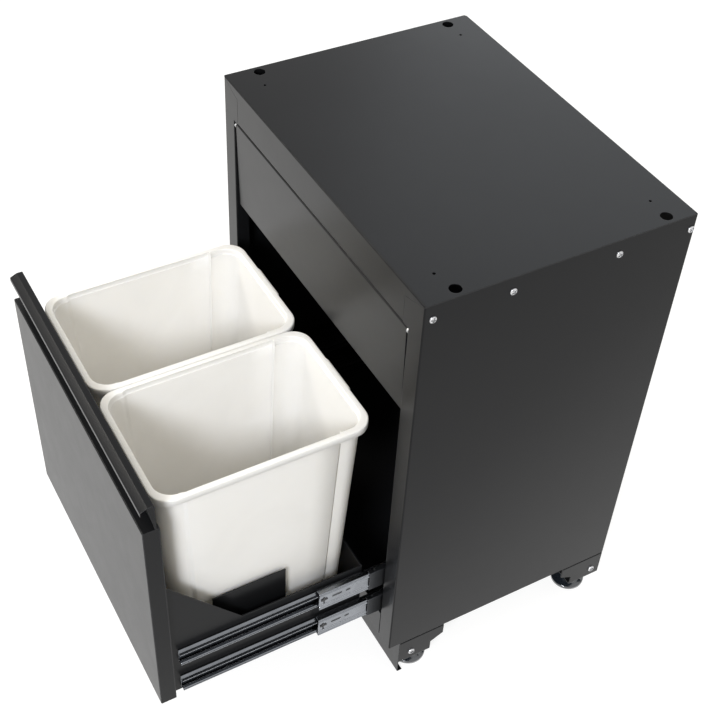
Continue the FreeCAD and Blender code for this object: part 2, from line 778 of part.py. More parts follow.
def slide_bracket(y0, y1):
    """Hat section between the side panel and the slides, standing on the floor panel."""
    web = slide_plane + carcass_sheet
    path = [(side_inner, y0 - slide_bracket_foot), (side_inner, y0), (web, y0), (web, y1),
            (side_inner, y1), (side_inner, y1 + slide_bracket_foot)]
    bracket = bent("z", path, opening_bottom, opening_bottom + slide_bracket_height,
                   carcass_sheet, carcass_bend)
    for z in slide_levels.values():
        bracket = bracket.cut(rod("x", slide_screw_radius + hole_play, (y0 + y1) / 2, z,
                                  slide_plane, web))
    return bracket


def slide_screws():
    """Two screws in each cabinet member."""
    right = [slide_screw(y, z) for y in slide_screw_places() for z in slide_levels.values()]
    return Part.makeCompound(right + [mirrored(screw) for screw in right])


# ---------------------------------------------------------------- drawer
def drawer_front():
    """Front pan: face, ledge under the handle, lower return and side edges."""
    path = [(face + front_depth, front_high), (face, front_high), (face, front_low),
            (face + front_depth, front_low)]
    pan = bent("x", path, -front_half, front_half, drawer_sheet, drawer_bend)
    edge = bent("z", [(front_half - 2 * drawer_sheet, face), (front_half, face),
                      (front_half, face + front_depth)],
                front_low + drawer_sheet, front_high - drawer_sheet, drawer_sheet, drawer_bend)
    corner = box(front_half - drawer_bend, front_half, face, face + drawer_bend, front_low, front_high)
    pan = pan.cut(corner).cut(mirrored(corner))
    return fused(pan, edge, mirrored(edge))


def drawer_liner():
    """Flat sheet that closes the drawer front from behind."""
    return box(-front_half, front_half, face + front_depth, liner_rear, front_low, front_high)


def handle_profile():
    """Grip along the top of the drawer front: web, top, chamfer and lip, with a gusset at each end."""
    top = front_high + handle_rise
    web = face + handle_stand
    chamfer_start = web - handle_flat
    path = [(web, front_high), (web, top), (chamfer_start, top), (face, top - handle_chamfer_drop),
            (face, top - handle_chamfer_drop - handle_lip)]
    profile = bent("x", path, -front_half, front_half, drawer_sheet, drawer_bend)
    gusset = prism("x", [(web - drawer_sheet / 2, top - drawer_sheet / 2),
                         (web - gusset_top, top - drawer_sheet / 2),
                         (web - drawer_sheet, front_high + drawer_sheet),
                         (web - drawer_sheet / 2, front_high + drawer_sheet)],
                   front_half - drawer_sheet, front_half)
    return fused(profile, gusset, mirrored(gusset))


def tray_floor():
    """Floor between the side walls, on their inward flanges."""
    inner = tray_half - drawer_sheet
    return box(-inner, inner, liner_rear, tray_end - drawer_sheet, tray_low + drawer_sheet, tray_top)


def cheek_points():
    """Outline of a side wall from the side."""
    straight = liner_rear + tray_cheek_flat + tray_cheek_run
    return [(liner_rear, tray_low), (tray_end, tray_low), (tray_end, tray_low + tray_wall),
            (straight, tray_low + tray_wall), (liner_rear + tray_cheek_flat, tray_low + tray_cheek_height),
            (liner_rear, tray_low + tray_cheek_height)]


def tray_side():
    """Right side wall, with flanges under the floor and against the liner, and a hemmed top."""
    inner = tray_half - drawer_sheet
    wall = prism("x", cheek_points(), inner, tray_half)
    foot = box(inner - tray_foot, inner, liner_rear, tray_end - drawer_sheet,
               tray_low, tray_low + drawer_sheet)
    flange = box(inner - tray_front_flange, inner, liner_rear, liner_rear + drawer_sheet,
                 tray_top, tray_low + tray_cheek_height)
    top = tray_low + tray_wall
    hem = box(inner - drawer_sheet, inner, liner_rear + tray_cheek_flat + tray_cheek_run,
              tray_end - 2 * drawer_sheet - tray_rear_flange, top - tray_hem, top)
    side = fused(wall, foot, flange, hem)
    for z in front_screw_heights:
        side = side.cut(rod("y", front_screw_radius + hole_play, inner - tray_front_flange / 2,
                            tray_low + z, liner_rear, liner_rear + drawer_sheet))
    return side


def tray_back():
    """Rear wall between the side walls, with returns along them and a hemmed top."""
    inner = tray_half - drawer_sheet
    top = tray_low + tray_wall
    y1 = tray_end
    y0 = y1 - drawer_sheet
    wall = box(-inner, inner, y0, y1, tray_low, top)
    flange = box(inner - drawer_sheet, inner, y0 - tray_rear_flange, y1, tray_top, top - seam)
    hem = box(-inner + drawer_sheet, inner - drawer_sheet, y0 - drawer_sheet, y0, top - tray_hem, top)
    return fused(wall, flange, mirrored(flange), hem)


def bin_retainer():
    """Upright plate on the tray floor beside the right bin."""
    x = tray_half - retainer_gap
    y0 = face + retainer_front
    path = [(x + retainer_foot, tray_top), (x - retainer_sheet, tray_top),
            (x - retainer_sheet, tray_top + retainer_height)]
    return bent("y", path[::-1], y0, y0 + retainer_length, retainer_sheet, drawer_bend)


def front_screws():
    """Screws that hold the side walls to the liner."""
    screw = pan_screw(front_screw_head, front_screw_rise, front_screw_radius, front_screw_length,
                      front_screw_rise / 2, drawer_sheet)
    x = tray_half - drawer_sheet - tray_front_flange / 2
    return Part.makeCompound([aimed(screw, Vector(side * x, liner_rear + drawer_sheet, tray_low + z),
                                    Vector(0, 1, 0))
                              for side in (-1, 1) for z in front_screw_heights])


def with_screw_holes(liner):
    """The liner, bored for the drawer front's screws."""
    x = tray_half - drawer_sheet - tray_front_flange / 2
    for z in front_screw_heights:
        bore = rod("y", front_screw_radius + hole_play, x, tray_low + z, face + front_depth, liner_rear)
        liner = liner.cut(bore).cut(mirrored(bore))
    return liner


# ---------------------------------------------------------------- bins
def section_wire(points, radii, z):
    """Closed outline at a height, with an arc at each corner that has a radius."""
    closed = points[-1:] + points + points[:1]
    limits = radii[-1:] + radii + radii[:1]
    start = ((points[-1][0] + points[0][0]) / 2, (points[-1][1] + points[0][1]) / 2)
    path = [start] + closed[1:-1] + [start]
    return Part.Wire(rounded_edges("z", z, path, [0] + limits[1:-1] + [0]))


def body_wire(z, level, inset):
    """Outline of a bin's body: a rounded rectangle with a raised panel on each side.

    level runs from 0 at the top to 1 at the bottom; inset moves every wall inwards.
    """
    lean = bin_draft * level + inset
    side = bin_width / 2 - bin_rim_side - lean
    y0 = -bin_depth / 2 + bin_rim_side + lean
    y1 = bin_depth / 2 - bin_rim_rear - lean
    panel_front = -bin_depth / 2 + bin_panel_front[0] + (bin_panel_front[1] - bin_panel_front[0]) * level
    panel_rear = bin_depth / 2 - bin_panel_rear[0] - (bin_panel_rear[1] - bin_panel_rear[0]) * level
    ramp = bin_panel_slope
    shift = inset * math.tan(math.atan2(bin_panel_rise, ramp) / 2)
    panel_front += shift
    panel_rear -= shift
    right = [(side, y0), (side, panel_front), (side + bin_panel_rise, panel_front + ramp),
             (side + bin_panel_rise, panel_rear - ramp), (side, panel_rear), (side, y1)]
    left = [(-x, y) for x, y in reversed(right)]
    corner = bin_body_radius - inset
    radii = [corner] + [bin_crease] * 4 + [corner]
    return section_wire(right + left, radii + radii, z)


def rim_slab(inset, z0, z1):
    """Rounded rectangle of the rim's outline, between two heights."""
    x, y = bin_width / 2 - inset, bin_depth / 2 - inset
    wire = section_wire([(x, -y), (x, y), (-x, y), (-x, -y)], [bin_rim_radius - inset] * 4, z0)
    return raised(wire, "z", z1 - z0)


def waste_bin(x):
    """Open bin with a flat rim, a skirt under it, raised side panels and a grip at the rear."""
    floor_z, top = tray_top, tray_top + bin_height
    plate = top - bin_rim_sheet
    outer = Part.makeLoft([body_wire(floor_z, 1, 0), body_wire(plate, 0, 0)], True, True)
    cavity = Part.makeLoft([body_wire(floor_z + bin_wall, 1, bin_wall), body_wire(top, 0, bin_wall)],
                           True, True)
    rim = rim_slab(0, plate, top)
    rim = rim.makeFillet(bin_rim_edge, [e for e in rim.Edges if e.BoundBox.ZMin > top - bin_rim_edge])
    skirt = rim_slab(0, top - bin_skirt, plate).cut(rim_slab(bin_skirt_wall, top - bin_skirt, plate))
    back = bin_depth / 2
    reach = bin_grip_length / 2
    taper = reach - bin_grip_taper
    grip = prism("z", [(-reach, back - bin_skirt_wall), (reach, back - bin_skirt_wall),
                       (taper, back + bin_grip_rise), (-taper, back + bin_grip_rise)],
                 top - bin_skirt, top - bin_rim_edge)
    shell = fused(outer, rim, skirt, grip).cut(cavity)
    return shell.translated(Vector(x, face + bin_front + bin_depth / 2, 0))


# ---------------------------------------------------------------- flap
def flap_blank():
    """The flap upright, its face at y = 0 and its top edge at z = 0, before the pin holes."""
    ends = opening_half - flap_end_gap
    path = [(flap_top_return, 0), (0, 0), (0, -flap_height), (flap_return, -flap_height)]
    sheet = bent("x", path, -ends, ends, flap_sheet, flap_bend)
    side = box(ends - flap_sheet, ends, flap_sheet / 2, flap_return, -flap_height + flap_sheet / 2,
               -flap_sheet / 2)
    return fused(sheet, side, mirrored(side))


def flap_pivot():
    """Pivot behind the flap's face, found so that the flap hangs at its tilt."""
    centre = flap_blank().CenterOfMass
    return centre.y + (-flap_pivot_drop - centre.z) * math.tan(math.radians(flap_tilt))


def flap_axis():
    """Y and Z of the hinge line on the cabinet."""
    return (front + flap_face_setback + flap_pivot(), opening_top - flap_top_gap - flap_pivot_drop)


def flap_panel():
    """The flap, hung on its pins with the lower edge tilted in."""
    y, z = flap_axis()
    ends = opening_half - flap_end_gap
    bore = rod("x", flap_pin_radius + flap_pin_play, flap_pivot(), -flap_pivot_drop, ends - flap_sheet, ends)
    flap = flap_blank().cut(bore).cut(mirrored(bore))
    flap = flap.translated(Vector(0, -flap_pivot(), flap_pivot_drop))
    flap.rotate(Vector(0, 0, 0), Vector(1, 0, 0), flap_tilt)
    return flap.translated(Vector(0, y, z))


def flap_pin_hole():
    """Hole for the pin in the right stile's inner edge."""
    y, z = flap_axis()
    return rod("x", flap_pin_radius, y, z, opening_half, opening_half + carcass_sheet)


def flap_pins():
    """Hinge pins in the stiles, each with a collar."""
    y, z = flap_axis()
    pin = rod("x", flap_pin_radius, y, z, opening_half - flap_pin_length, opening_half + flap_pin_shank)
    pin = fused(pin, rod("x", flap_pin_collar, y, z, opening_half - flap_pin_collar_length, opening_half))
    return Part.makeCompound([pin, mirrored(pin)])


# ---------------------------------------------------------------- the assembly
def pieces():
    """Every piece by its name."""
    shapes = {
        "top_panel": top_panel(),
        "back_panel": back_panel(),
        "floor_panel": floor_panel(),
        "plinth_panel": plinth_panel(),
        "top_panel_screws": panel_screws(),
        "back_panel_screws": rear_screws(),
        "foot_bracket_bolts": bracket_bolts(),
        "weld_nuts": weld_nuts(),
        "slide_screws": slide_screws(),
        "flap_pins": flap_pins(),
        "flap_panel": flap_panel(),
        "drawer_front": drawer_front(),
        "drawer_liner": with_screw_holes(drawer_liner()),
        "handle_profile": handle_profile(),
        "tray_floor": tray_floor(),
        "tray_back": tray_back(),
        "drawer_front_screws": front_screws(),
    }
    front_slide_bracket, rear_slide_bracket = (slide_bracket(*place) for place in slide_bracket_places())
    pairs = {
        "side_panel": side_panel(),
        "foot_bracket_front": front_bracket(),
        "foot_bracket_rear": rear_bracket(),
        "slide_bracket_front": front_slide_bracket,
        "slide_bracket_rear": rear_slide_bracket,
        "slide_levers": slide_levers(),
        "outer_cages": outer_cages(),
        "inner_cages": inner_cages(),
        "tray_side": tray_side(),
        "bin_retainer": bin_retainer(),
        "foot_disc_front": foot_disc(foot_x, front_foot_y),
        "foot_disc_rear": foot_disc(foot_x, rear_foot_y),
        "foot_spindle_front": foot_spindle(foot_x, front_foot_y),
        "foot_spindle_rear": foot_spindle(foot_x, rear_foot_y),
    }
    for level, z in slide_levels.items():
        pairs["slide_cabinet_member_" + level] = cabinet_member(z)
        pairs["slide_middle_member_" + level] = middle_member(z)
        pairs["slide_drawer_member_" + level] = drawer_member(z)
    for name, shape in pairs.items():
        shapes[name + "_right"] = shape
        shapes[name + "_left"] = mirrored(shape)
    bin_x = (bin_width + bin_gap) / 2
    shapes["bin_right"] = waste_bin(bin_x)
    shapes["bin_left"] = waste_bin(-bin_x)
    return shapes


os.makedirs("parts", exist_ok=True)
for name, shape in pieces().items():
    shape.exportStep(os.path.join("parts", name + ".step"))
print("flap axis y, z:", [round(value, 3) for value in flap_axis()])
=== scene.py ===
import math

import bmesh
import bpy
import numpy as np
from mathutils import Matrix, Vector


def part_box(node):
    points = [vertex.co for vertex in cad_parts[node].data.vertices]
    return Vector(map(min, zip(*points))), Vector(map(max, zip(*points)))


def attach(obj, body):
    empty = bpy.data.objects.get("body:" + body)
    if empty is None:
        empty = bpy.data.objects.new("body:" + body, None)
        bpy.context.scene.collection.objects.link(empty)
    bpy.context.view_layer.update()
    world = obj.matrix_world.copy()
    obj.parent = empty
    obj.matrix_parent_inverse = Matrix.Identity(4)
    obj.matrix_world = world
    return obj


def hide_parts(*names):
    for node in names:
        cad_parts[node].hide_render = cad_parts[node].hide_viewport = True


bl_info = {
    "name": "Pull-out waste cabinet",
    "version": (1, 0, 0),
    "blender": (4, 5, 0),
    "location": "3D View > Sidebar > Cabinet",
    "description": "Finishes, bins, screws, feet and studio of a sheet-steel cabinet "
                   "with a pull-out waste drawer",
    "category": "Object",
}

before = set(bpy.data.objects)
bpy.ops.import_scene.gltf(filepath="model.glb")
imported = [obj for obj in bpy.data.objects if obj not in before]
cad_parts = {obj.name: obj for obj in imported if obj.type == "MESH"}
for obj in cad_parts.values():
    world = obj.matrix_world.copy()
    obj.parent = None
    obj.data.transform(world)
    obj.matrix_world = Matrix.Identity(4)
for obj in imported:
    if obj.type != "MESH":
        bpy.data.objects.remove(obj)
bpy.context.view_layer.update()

# Painted sheet-steel pieces outside and inside the carcass and on the drawer
OUTER_STEEL = (
    "top_panel", "side_panel_left", "side_panel_right", "floor_panel", "plinth_panel",
    "foot_bracket_front_left", "foot_bracket_front_right", "foot_bracket_rear_left",
    "foot_bracket_rear_right")
INNER_STEEL = (
    "back_panel", "slide_bracket_front_left", "slide_bracket_front_right",
    "slide_bracket_rear_left", "slide_bracket_rear_right")
DRAWER_STEEL = (
    "drawer_front", "drawer_liner", "tray_floor", "tray_side_left", "tray_side_right", "tray_back",
    "bin_retainer_left", "bin_retainer_right")
# Level and side of each slide
SLIDES = (("upper", "left"), ("upper", "right"), ("lower", "left"), ("lower", "right"))


# ---------------------------------------------------------------- sizes and colours a user changes
def measure(name, description, default, low=0.0005):
    """A length that a user can change, never under its lowest value."""
    return bpy.props.FloatProperty(
        name=name, description=description, unit="LENGTH", min=low, default=default)


def tint(name, description, default):
    """A colour that a user can change."""
    return bpy.props.FloatVectorProperty(
        name=name, description=description, subtype="COLOR", size=3, min=0, max=1, default=default)


def fraction(name, description, default):
    """A number from 0 to 1 that a user can change."""
    return bpy.props.FloatProperty(
        name=name, description=description, subtype="FACTOR", min=0, max=1, default=default)


class CabinetPaint(bpy.types.PropertyGroup):
    """Powder coat of the sheet steel"""
    colour: tint("Paint colour", "Colour of the powder coat", (0.0078, 0.0080, 0.0088))
    # The edge colour is a painted highlight along folded edges
    scuff_and_edge_highlight: tint("Edge colour", "Colour of the thin paint along folded edges", (0.12, 0.122, 0.13))
    roughness: fraction("Roughness", "Mean roughness of the powder coat", 0.32)
    edge_radius: bpy.props.FloatProperty(
        name="Edge radius", description="Rounding of the cut sheet edges", unit="LENGTH",
        min=0.0001, max=0.003, default=0.0007)


class CabinetMetal(bpy.types.PropertyGroup):
    """Plated steel of the slides and fasteners"""
    zinc: tint("Zinc colour", "Colour of the bright zinc plate", (0.60, 0.63, 0.68))
    fastener: tint("Fastener colour", "Colour of the screws, bolts and spindles", (0.66, 0.66, 0.67))


class CabinetScrews(bpy.types.PropertyGroup):
    """Sizes of the screw and bolt heads"""
    head_radius: measure("Screw head radius", "Radius of the panel screws' heads", 0.0062, 0.001)
    head_height: measure("Screw head height", "Height of the panel screws' heads", 0.0034)
    bolt_radius: measure("Bolt head radius", "Radius of the bracket bolts' heads", 0.0068, 0.001)
    bolt_height: measure("Bolt head height", "Height of the bracket bolts' heads", 0.0044)
    seed: bpy.props.IntProperty(
        name="Turn seed", description="Seed for how far each screw was turned", default=7)


class CabinetSlides(bpy.types.PropertyGroup):
    """Rolled sections of the slides"""
    sheet: measure("Strip", "Thickness of the rolled strip", 0.0015)
    groove: measure("Groove", "Depth of the ball grooves of the drawer members", 0.0035)
    lip: measure("Lip", "Set-back of the drawer members' lips from their corners", 0.0028, 0.0)
    plate: measure("Plate", "Height of the middle members' flat plate", 0.022, 0.01)
    ledge: measure("Ledge", "Step from the plate out to the rolled edge", 0.0018, 0.0003)
    slot_height: measure("Slot height", "Height of the two slots", 0.006, 0.001)


class CabinetBins(bpy.types.PropertyGroup):
    """The two plastic bins"""
    colour: tint("Bin colour", "Colour of the plastic", (0.93, 0.915, 0.885))
    wall: measure("Wall", "Thickness of the walls", 0.003, 0.001)
    rim_rounding: measure("Rim rounding", "Rounding of the rim's edges", 0.0022, 0.0002)
    floor_rounding: measure("Floor rounding", "Rounding where the walls meet the floor", 0.008, 0.001)


class CabinetHandle(bpy.types.PropertyGroup):
    """Grip profile along the top of the drawer front"""
    sheet: measure("Sheet", "Thickness of the profile's sheet", 0.0012)
    bend: measure("Bend", "Outer radius of the profile's bends", 0.0022)
    flat: measure("Flat", "Width of the flat top", 0.011, 0.001)
    drop: measure("Drop", "Fall of the chamfer", 0.006, 0.001)
    lip: measure("Lip", "Height of the lip below the chamfer", 0.008, 0.001)
    gusset: measure("Gusset", "Width of the end gussets at the top", 0.0125, 0.001)


class CabinetFeet(bpy.types.PropertyGroup):
    """Levelling feet"""
    pitch: measure("Thread pitch", "Pitch of the spindles' thread", 0.0015)
    depth: measure("Thread depth", "Depth of the spindles' thread", 0.0007, 0.0001)
    disc: tint("Disc colour", "Colour of the moulded discs", (0.012, 0.016, 0.022))


class CabinetStudio(bpy.types.PropertyGroup):
    """Floor, lights and camera"""
    floor: measure("Floor size", "Side of the floor", 60.0, 1)
    floor_colour: tint("Floor colour", "Colour of the floor", (0.28, 0.28, 0.28))
    background: fraction(
        "Background", "White that the floor adds where it is seen, over its own light", 0.82)
    lens: bpy.props.FloatProperty(
        name="Lens", description="Focal length in millimetres on a 36 mm sensor", min=10, default=64.68)


# ---------------------------------------------------------------- node trees
def feed(tree, target, values):
    """Feeds a node's sockets: another node's output is linked, and anything else is set."""
    for name, value in values.items():
        if isinstance(value, bpy.types.NodeSocket):
            tree.links.new(value, target.inputs[name])
        else:
            target.inputs[name].default_value = value


def node(tree, kind, column, row, values=None, **settings):
    """A node of a tree, set at a column and row, with its settings and what feeds its sockets."""
    made = tree.nodes.new(kind)
    made.location = (column * 200, -row * 180)
    for name, value in settings.items():
        setattr(made, name, value)
    feed(tree, made, values or {})
    return made


def new_group(name, inputs, outputs):
    """An empty shader group. Its sockets are numbers, apart from those named Normal."""
    group = bpy.data.node_groups.new(name, "ShaderNodeTree")
    kinds = {"Normal": "NodeSocketVector"}
    for socket, value in inputs.items():
        made = group.interface.new_socket(
            socket, in_out="INPUT", socket_type=kinds.get(socket, "NodeSocketFloat"))
        if value is not None:
            made.default_value = value
    for socket in outputs:
        group.interface.new_socket(
            socket, in_out="OUTPUT", socket_type=kinds.get(socket, "NodeSocketFloat"))
    return group, node(group, "NodeGroupInput", 0, 0).outputs, node(group, "NodeGroupOutput", 8, 0)


def ranged(tree, column, row, source, low, high, to_low, to_high, smooth=False):
    """The output of a Map Range node fed from a socket."""
    mapped = node(tree, "ShaderNodeMapRange", column, row,
                  {"Value": source, "From Min": low, "From Max": high, "To Min": to_low,
                   "To Max": to_high}, interpolation_type="SMOOTHSTEP" if smooth else "LINEAR")
    return mapped.outputs["Result"]


def multiplied(tree, column, row, first, second, operation="MULTIPLY"):
    """The output of a Math node fed from two sockets or numbers."""
    made = node(tree, "ShaderNodeMath", column, row, {0: first, 1: second}, operation=operation)
    return made.outputs[0]


def noise(tree, column, row, vector, scale, detail=2.0, roughness=0.5, distortion=0.0):
    """The value of a noise texture on a vector."""
    made = node(tree, "ShaderNodeTexNoise", column, row,
                {"Vector": vector, "Scale": scale, "Detail": detail, "Roughness": roughness,
                 "Distortion": distortion})
    return made.outputs["Fac"]


def bumped(tree, column, row, height, distance, normal, strength=1.0):
    """A bump of a height over a normal."""
    made = node(tree, "ShaderNodeBump", column, row,
                {"Height": height, "Distance": distance, "Normal": normal, "Strength": strength})
    return made.outputs["Normal"]


def own_place(tree, column, row):
    """The place on the object itself, so that the pattern moves with its body."""
    return node(tree, "ShaderNodeTexCoord", column, row).outputs["Object"]


def stretched(tree, column, row, vector, scale):
    """A vector stretched along its axes."""
    made = node(tree, "ShaderNodeMapping", column, row, {"Vector": vector, "Scale": scale})
    return made.outputs["Vector"]


def edge_group(name):
    """Mask and rounded normal along folded and cut edges."""
    group, given, result = new_group(name, {"Radius": 0.0007}, ("Edge", "Normal"))
    bevel = node(group, "ShaderNodeBevel", 1, 0, {"Radius": given["Radius"]}, samples=6)
    rounded = bevel.outputs["Normal"]
    true = node(group, "ShaderNodeNewGeometry", 1, 1).outputs["Normal"]
    agreed = node(group, "ShaderNodeVectorMath", 2, 0, {0: rounded, 1: true}, operation="DOT_PRODUCT")
    feed(group, result, {
        "Edge": ranged(group, 3, 0, agreed.outputs["Value"], 0.995, 0.80, 0, 1, True),
        "Normal": rounded})
    return group


def powder_group(name):
    """Fine grain and soft waviness of a sprayed and baked powder coat."""
    group, given, result = new_group(
        name, {"Normal": None, "Grain depth": 0.00001, "Wave depth": 0.000003},
        ("Tone", "Sheen", "Dust", "Normal"))
    at = own_place(group, 1, 2)
    grain = noise(group, 2, 0, at, 1500, 2.5, 0.6)
    wave = noise(group, 2, 1, at, 260, 2.0, 0.45)
    cloud = noise(group, 2, 2, at, 5.5, 4.0, 0.55, 0.3)
    smear = noise(group, 2, 3, at, 21, 5.0, 0.6, 0.6)
    specks = node(group, "ShaderNodeTexVoronoi", 2, 4, {"Vector": at, "Scale": 240.0})
    lifted = bumped(group, 4, 0, wave, given["Wave depth"], given["Normal"])
    feed(group, result, {
        "Normal": bumped(group, 5, 0, grain, given["Grain depth"], lifted),
        "Tone": multiplied(group, 4, 2, ranged(group, 3, 2, cloud, 0.3, 0.7, 0.25, 0.75),
                           ranged(group, 3, 1, grain, 0.25, 0.75, 0.6, 1.4)),
        "Sheen": ranged(group, 3, 3, smear, 0.3, 0.7, -1, 1),
        "Dust": ranged(group, 3, 4, specks.outputs["Distance"], 0.07, 0.03, 0, 1, True)})
    return group


def plate_group(name):
    """Rolling streaks and faint spangle of zinc-plated strip drawn along Y."""
    group, given, result = new_group(name, {"Normal": None}, ("Tone", "Sheen", "Normal"))
    at = own_place(group, 1, 2)
    streak = noise(group, 3, 0, stretched(group, 2, 0, at, (1.0, 0.03, 1.0)), 1300, 3.0, 0.6)
    stain = noise(group, 3, 1, at, 34, 4.0, 0.6, 0.5)
    spangle = node(group, "ShaderNodeTexVoronoi", 3, 2, {"Vector": at, "Scale": 420.0})
    cells = multiplied(group, 4, 2, spangle.outputs["Color"], 0.35)
    feed(group, result, {
        "Normal": bumped(group, 5, 0, streak, 0.000001, given["Normal"]),
        "Tone": multiplied(group, 5, 1, cells, ranged(group, 4, 1, stain, 0.3, 0.7, 0, 0.6), "ADD"),
        "Sheen": ranged(group, 4, 0, streak, 0.3, 0.7, -1, 1)})
    return group


def moulded_group(name):
    """Spark-eroded grain and slight flow marks of a moulded plastic."""
    group, given, result = new_group(
        name, {"Normal": None, "Grain depth": 0.00002}, ("Tone", "Sheen", "Scuff", "Normal"))
    at = own_place(group, 1, 2)
    grain = noise(group, 2, 0, at, 1100, 2.0, 0.55)
    flow = noise(group, 2, 1, at, 9, 3.0, 0.5, 0.8)
    scuff = noise(group, 3, 2, stretched(group, 2, 2, at, (1.0, 1.0, 0.12)), 190, 4.0, 0.7)
    lifted = bumped(group, 4, 0, grain, given["Grain depth"], given["Normal"])
    feed(group, result, {
        "Normal": bumped(group, 5, 0, flow, 0.0006, lifted, 0.6),
        "Tone": ranged(group, 3, 1, flow, 0.3, 0.7, 0, 1),
        "Sheen": ranged(group, 3, 0, grain, 0.3, 0.7, -1, 1),
        "Scuff": ranged(group, 4, 2, scuff, 0.66, 0.80, 0, 1, True)})
    return group


def once(kind):
    """A node tree by its name, made the first time that it is asked for."""
    return bpy.data.node_groups.get(kind) or TREES[kind](kind)


def shared(material, kind, column, row, values):
    """The outputs of a shared effect, placed as a group node in a material."""
    placed = node(material.node_tree, "ShaderNodeGroup", column, row, node_tree=once(kind))
    feed(material.node_tree, placed, values)
    return placed.outputs


# ---------------------------------------------------------------- finishes
DUST_COLOUR = (0.22, 0.22, 0.21)
# How far into a corner the finishes look for hollows to darken with painted shade, in metres
SHADE_REACH = 0.004


def bare_material(name, **sockets):
    """A material with its Principled shader, constants set on the shader's own sockets."""
    material = bpy.data.materials.new(name)
    material.use_nodes = True
    shader = material.node_tree.nodes["Principled BSDF"]
    shader.location = (1600, 0)
    for socket, value in sockets.items():
        shader.inputs[socket.replace("_", " ")].default_value = value
    return material, material.node_tree, shader


def mixed(tree, column, row, factor, first, second):
    """A colour between two, by a factor; each is a socket or an RGB triple."""
    pair = [part if isinstance(part, bpy.types.NodeSocket) else (*part, 1.0) for part in (first, second)]
    made = node(tree, "ShaderNodeMix", column, row, {"Factor": factor, 6: pair[0], 7: pair[1]},
                data_type="RGBA", clamp_factor=True)
    return made.outputs[2]


def shaded(colour, factor):
    """A colour made lighter or darker."""
    return tuple(min(1.0, part * factor) for part in colour)


def paint(name, settings, inside_shade=1.0, sheen=0.012):
    """Powder coat with grain, more gloss at a slant, a painted highlight along the edges and a little
    dust.
    """
    material, tree, shader = bare_material(name)
    edges = shared(material, "Rounded edges", 1, 0, {"Radius": settings.edge_radius})
    coat = shared(material, "Powder coat grain", 2, 1, {"Normal": edges["Normal"]})
    base = shaded(settings.colour, inside_shade)
    mottled = mixed(tree, 4, 0, coat["Tone"], shaded(base, 0.9), shaded(base, 1.1))
    # Painted highlight: a lighter colour along folded and cut edges
    highlighted = multiplied(tree, 3, 0, edges["Edge"], 0.55)
    with_edge_highlight = mixed(tree, 5, 0, highlighted, mottled, shaded(settings.scuff_and_edge_highlight, inside_shade))
    specks = multiplied(tree, 4, 2, coat["Dust"], 0.10)
    slant = node(tree, "ShaderNodeLayerWeight", 4, 4, {"Blend": 0.5, "Normal": coat["Normal"]})
    rising = ranged(tree, 5, 4, slant.outputs["Facing"], 0.46, 0.66, 0.13, 0.33, True)
    falling = ranged(tree, 5, 5, slant.outputs["Facing"], 0.70, 0.86, 1.0, 0.55, True)
    feed(tree, shader, {
        "Base Color": mixed(tree, 6, 0, specks, with_edge_highlight, DUST_COLOUR),
        "Roughness": ranged(tree, 5, 2, coat["Sheen"], -1, 1,
                            settings.roughness - sheen, settings.roughness + sheen),
        "Specular IOR Level": multiplied(tree, 6, 4, rising, falling),
        "Normal": coat["Normal"]})
    return material


def toned(tree, skin, normal, colour, tones, hollows, shade):
    """A colour that varies between two tones, with painted shade that darkens it to a share of itself in
    narrow hollows.
    """
    # Ambient occlusion finds the narrow hollows that get the painted shade
    hollow = node(tree, "ShaderNodeAmbientOcclusion", 2, 4, {"Distance": SHADE_REACH, "Normal": normal},
                  samples=6, only_local=True)
    unshaded_share = ranged(tree, 3, 4, hollow.outputs["AO"], *hollows, 0, 1, True)
    clean = mixed(tree, 4, 0, skin["Tone"], shaded(colour, tones[0]), shaded(colour, tones[1]))
    return mixed(tree, 4, 1, unshaded_share, shaded(colour, shade), clean)


def plated(name, colour, low, high, edge=(0.85, 0.87, 0.90)):
    """Plated steel with drawn streaks and spangle, painted shade in narrow hollows and a painted
    highlight along the edges.
    """
    material, tree, shader = bare_material(name, Metallic=1.0)
    edges = shared(material, "Rounded edges", 1, 0, {"Radius": 0.0005})
    plate = shared(material, "Zinc plate", 2, 1, {"Normal": edges["Normal"]})
    # Painted shade: the zinc darkens to 0.42 of itself in narrow hollows
    base = toned(tree, plate, edges["Normal"], colour, (0.82, 1.12), (0.5, 0.92), 0.42)
    # Painted highlight: the edges take the light edge colour
    bright = multiplied(tree, 3, 0, edges["Edge"], 0.85)
    feed(tree, shader, {
        "Base Color": mixed(tree, 5, 0, bright, base, edge),
        "Roughness": ranged(tree, 4, 2, plate["Sheen"], -1, 1, low, high),
        "Normal": plate["Normal"]})
    return material


def plastic(name, colour, low, high, grain, scuffed, **sockets):
    """Moulded plastic with grain, slight flow marks, fine scuffs and painted shade in narrow hollows."""
    material, tree, shader = bare_material(name, **sockets)
    edges = shared(material, "Rounded edges", 1, 0, {"Radius": 0.0004})
    skin = shared(material, "Moulded plastic", 2, 1, {"Grain depth": grain, "Normal": edges["Normal"]})
    # Painted shade: the colour darkens to 0.35 of itself in narrow hollows
    base = toned(tree, skin, edges["Normal"], colour, (0.975, 1.015), (0.2, 0.6), 0.35)
    scuff_and_edge_highlight = multiplied(tree, 4, 2, skin["Scuff"], 0.22)
    feed(tree, shader, {
        "Base Color": mixed(tree, 5, 0, scuff_and_edge_highlight, base, scuffed),
        "Roughness": ranged(tree, 5, 2, skin["Sheen"], -1, 1, low, high),
        "Normal": skin["Normal"]})
    return material


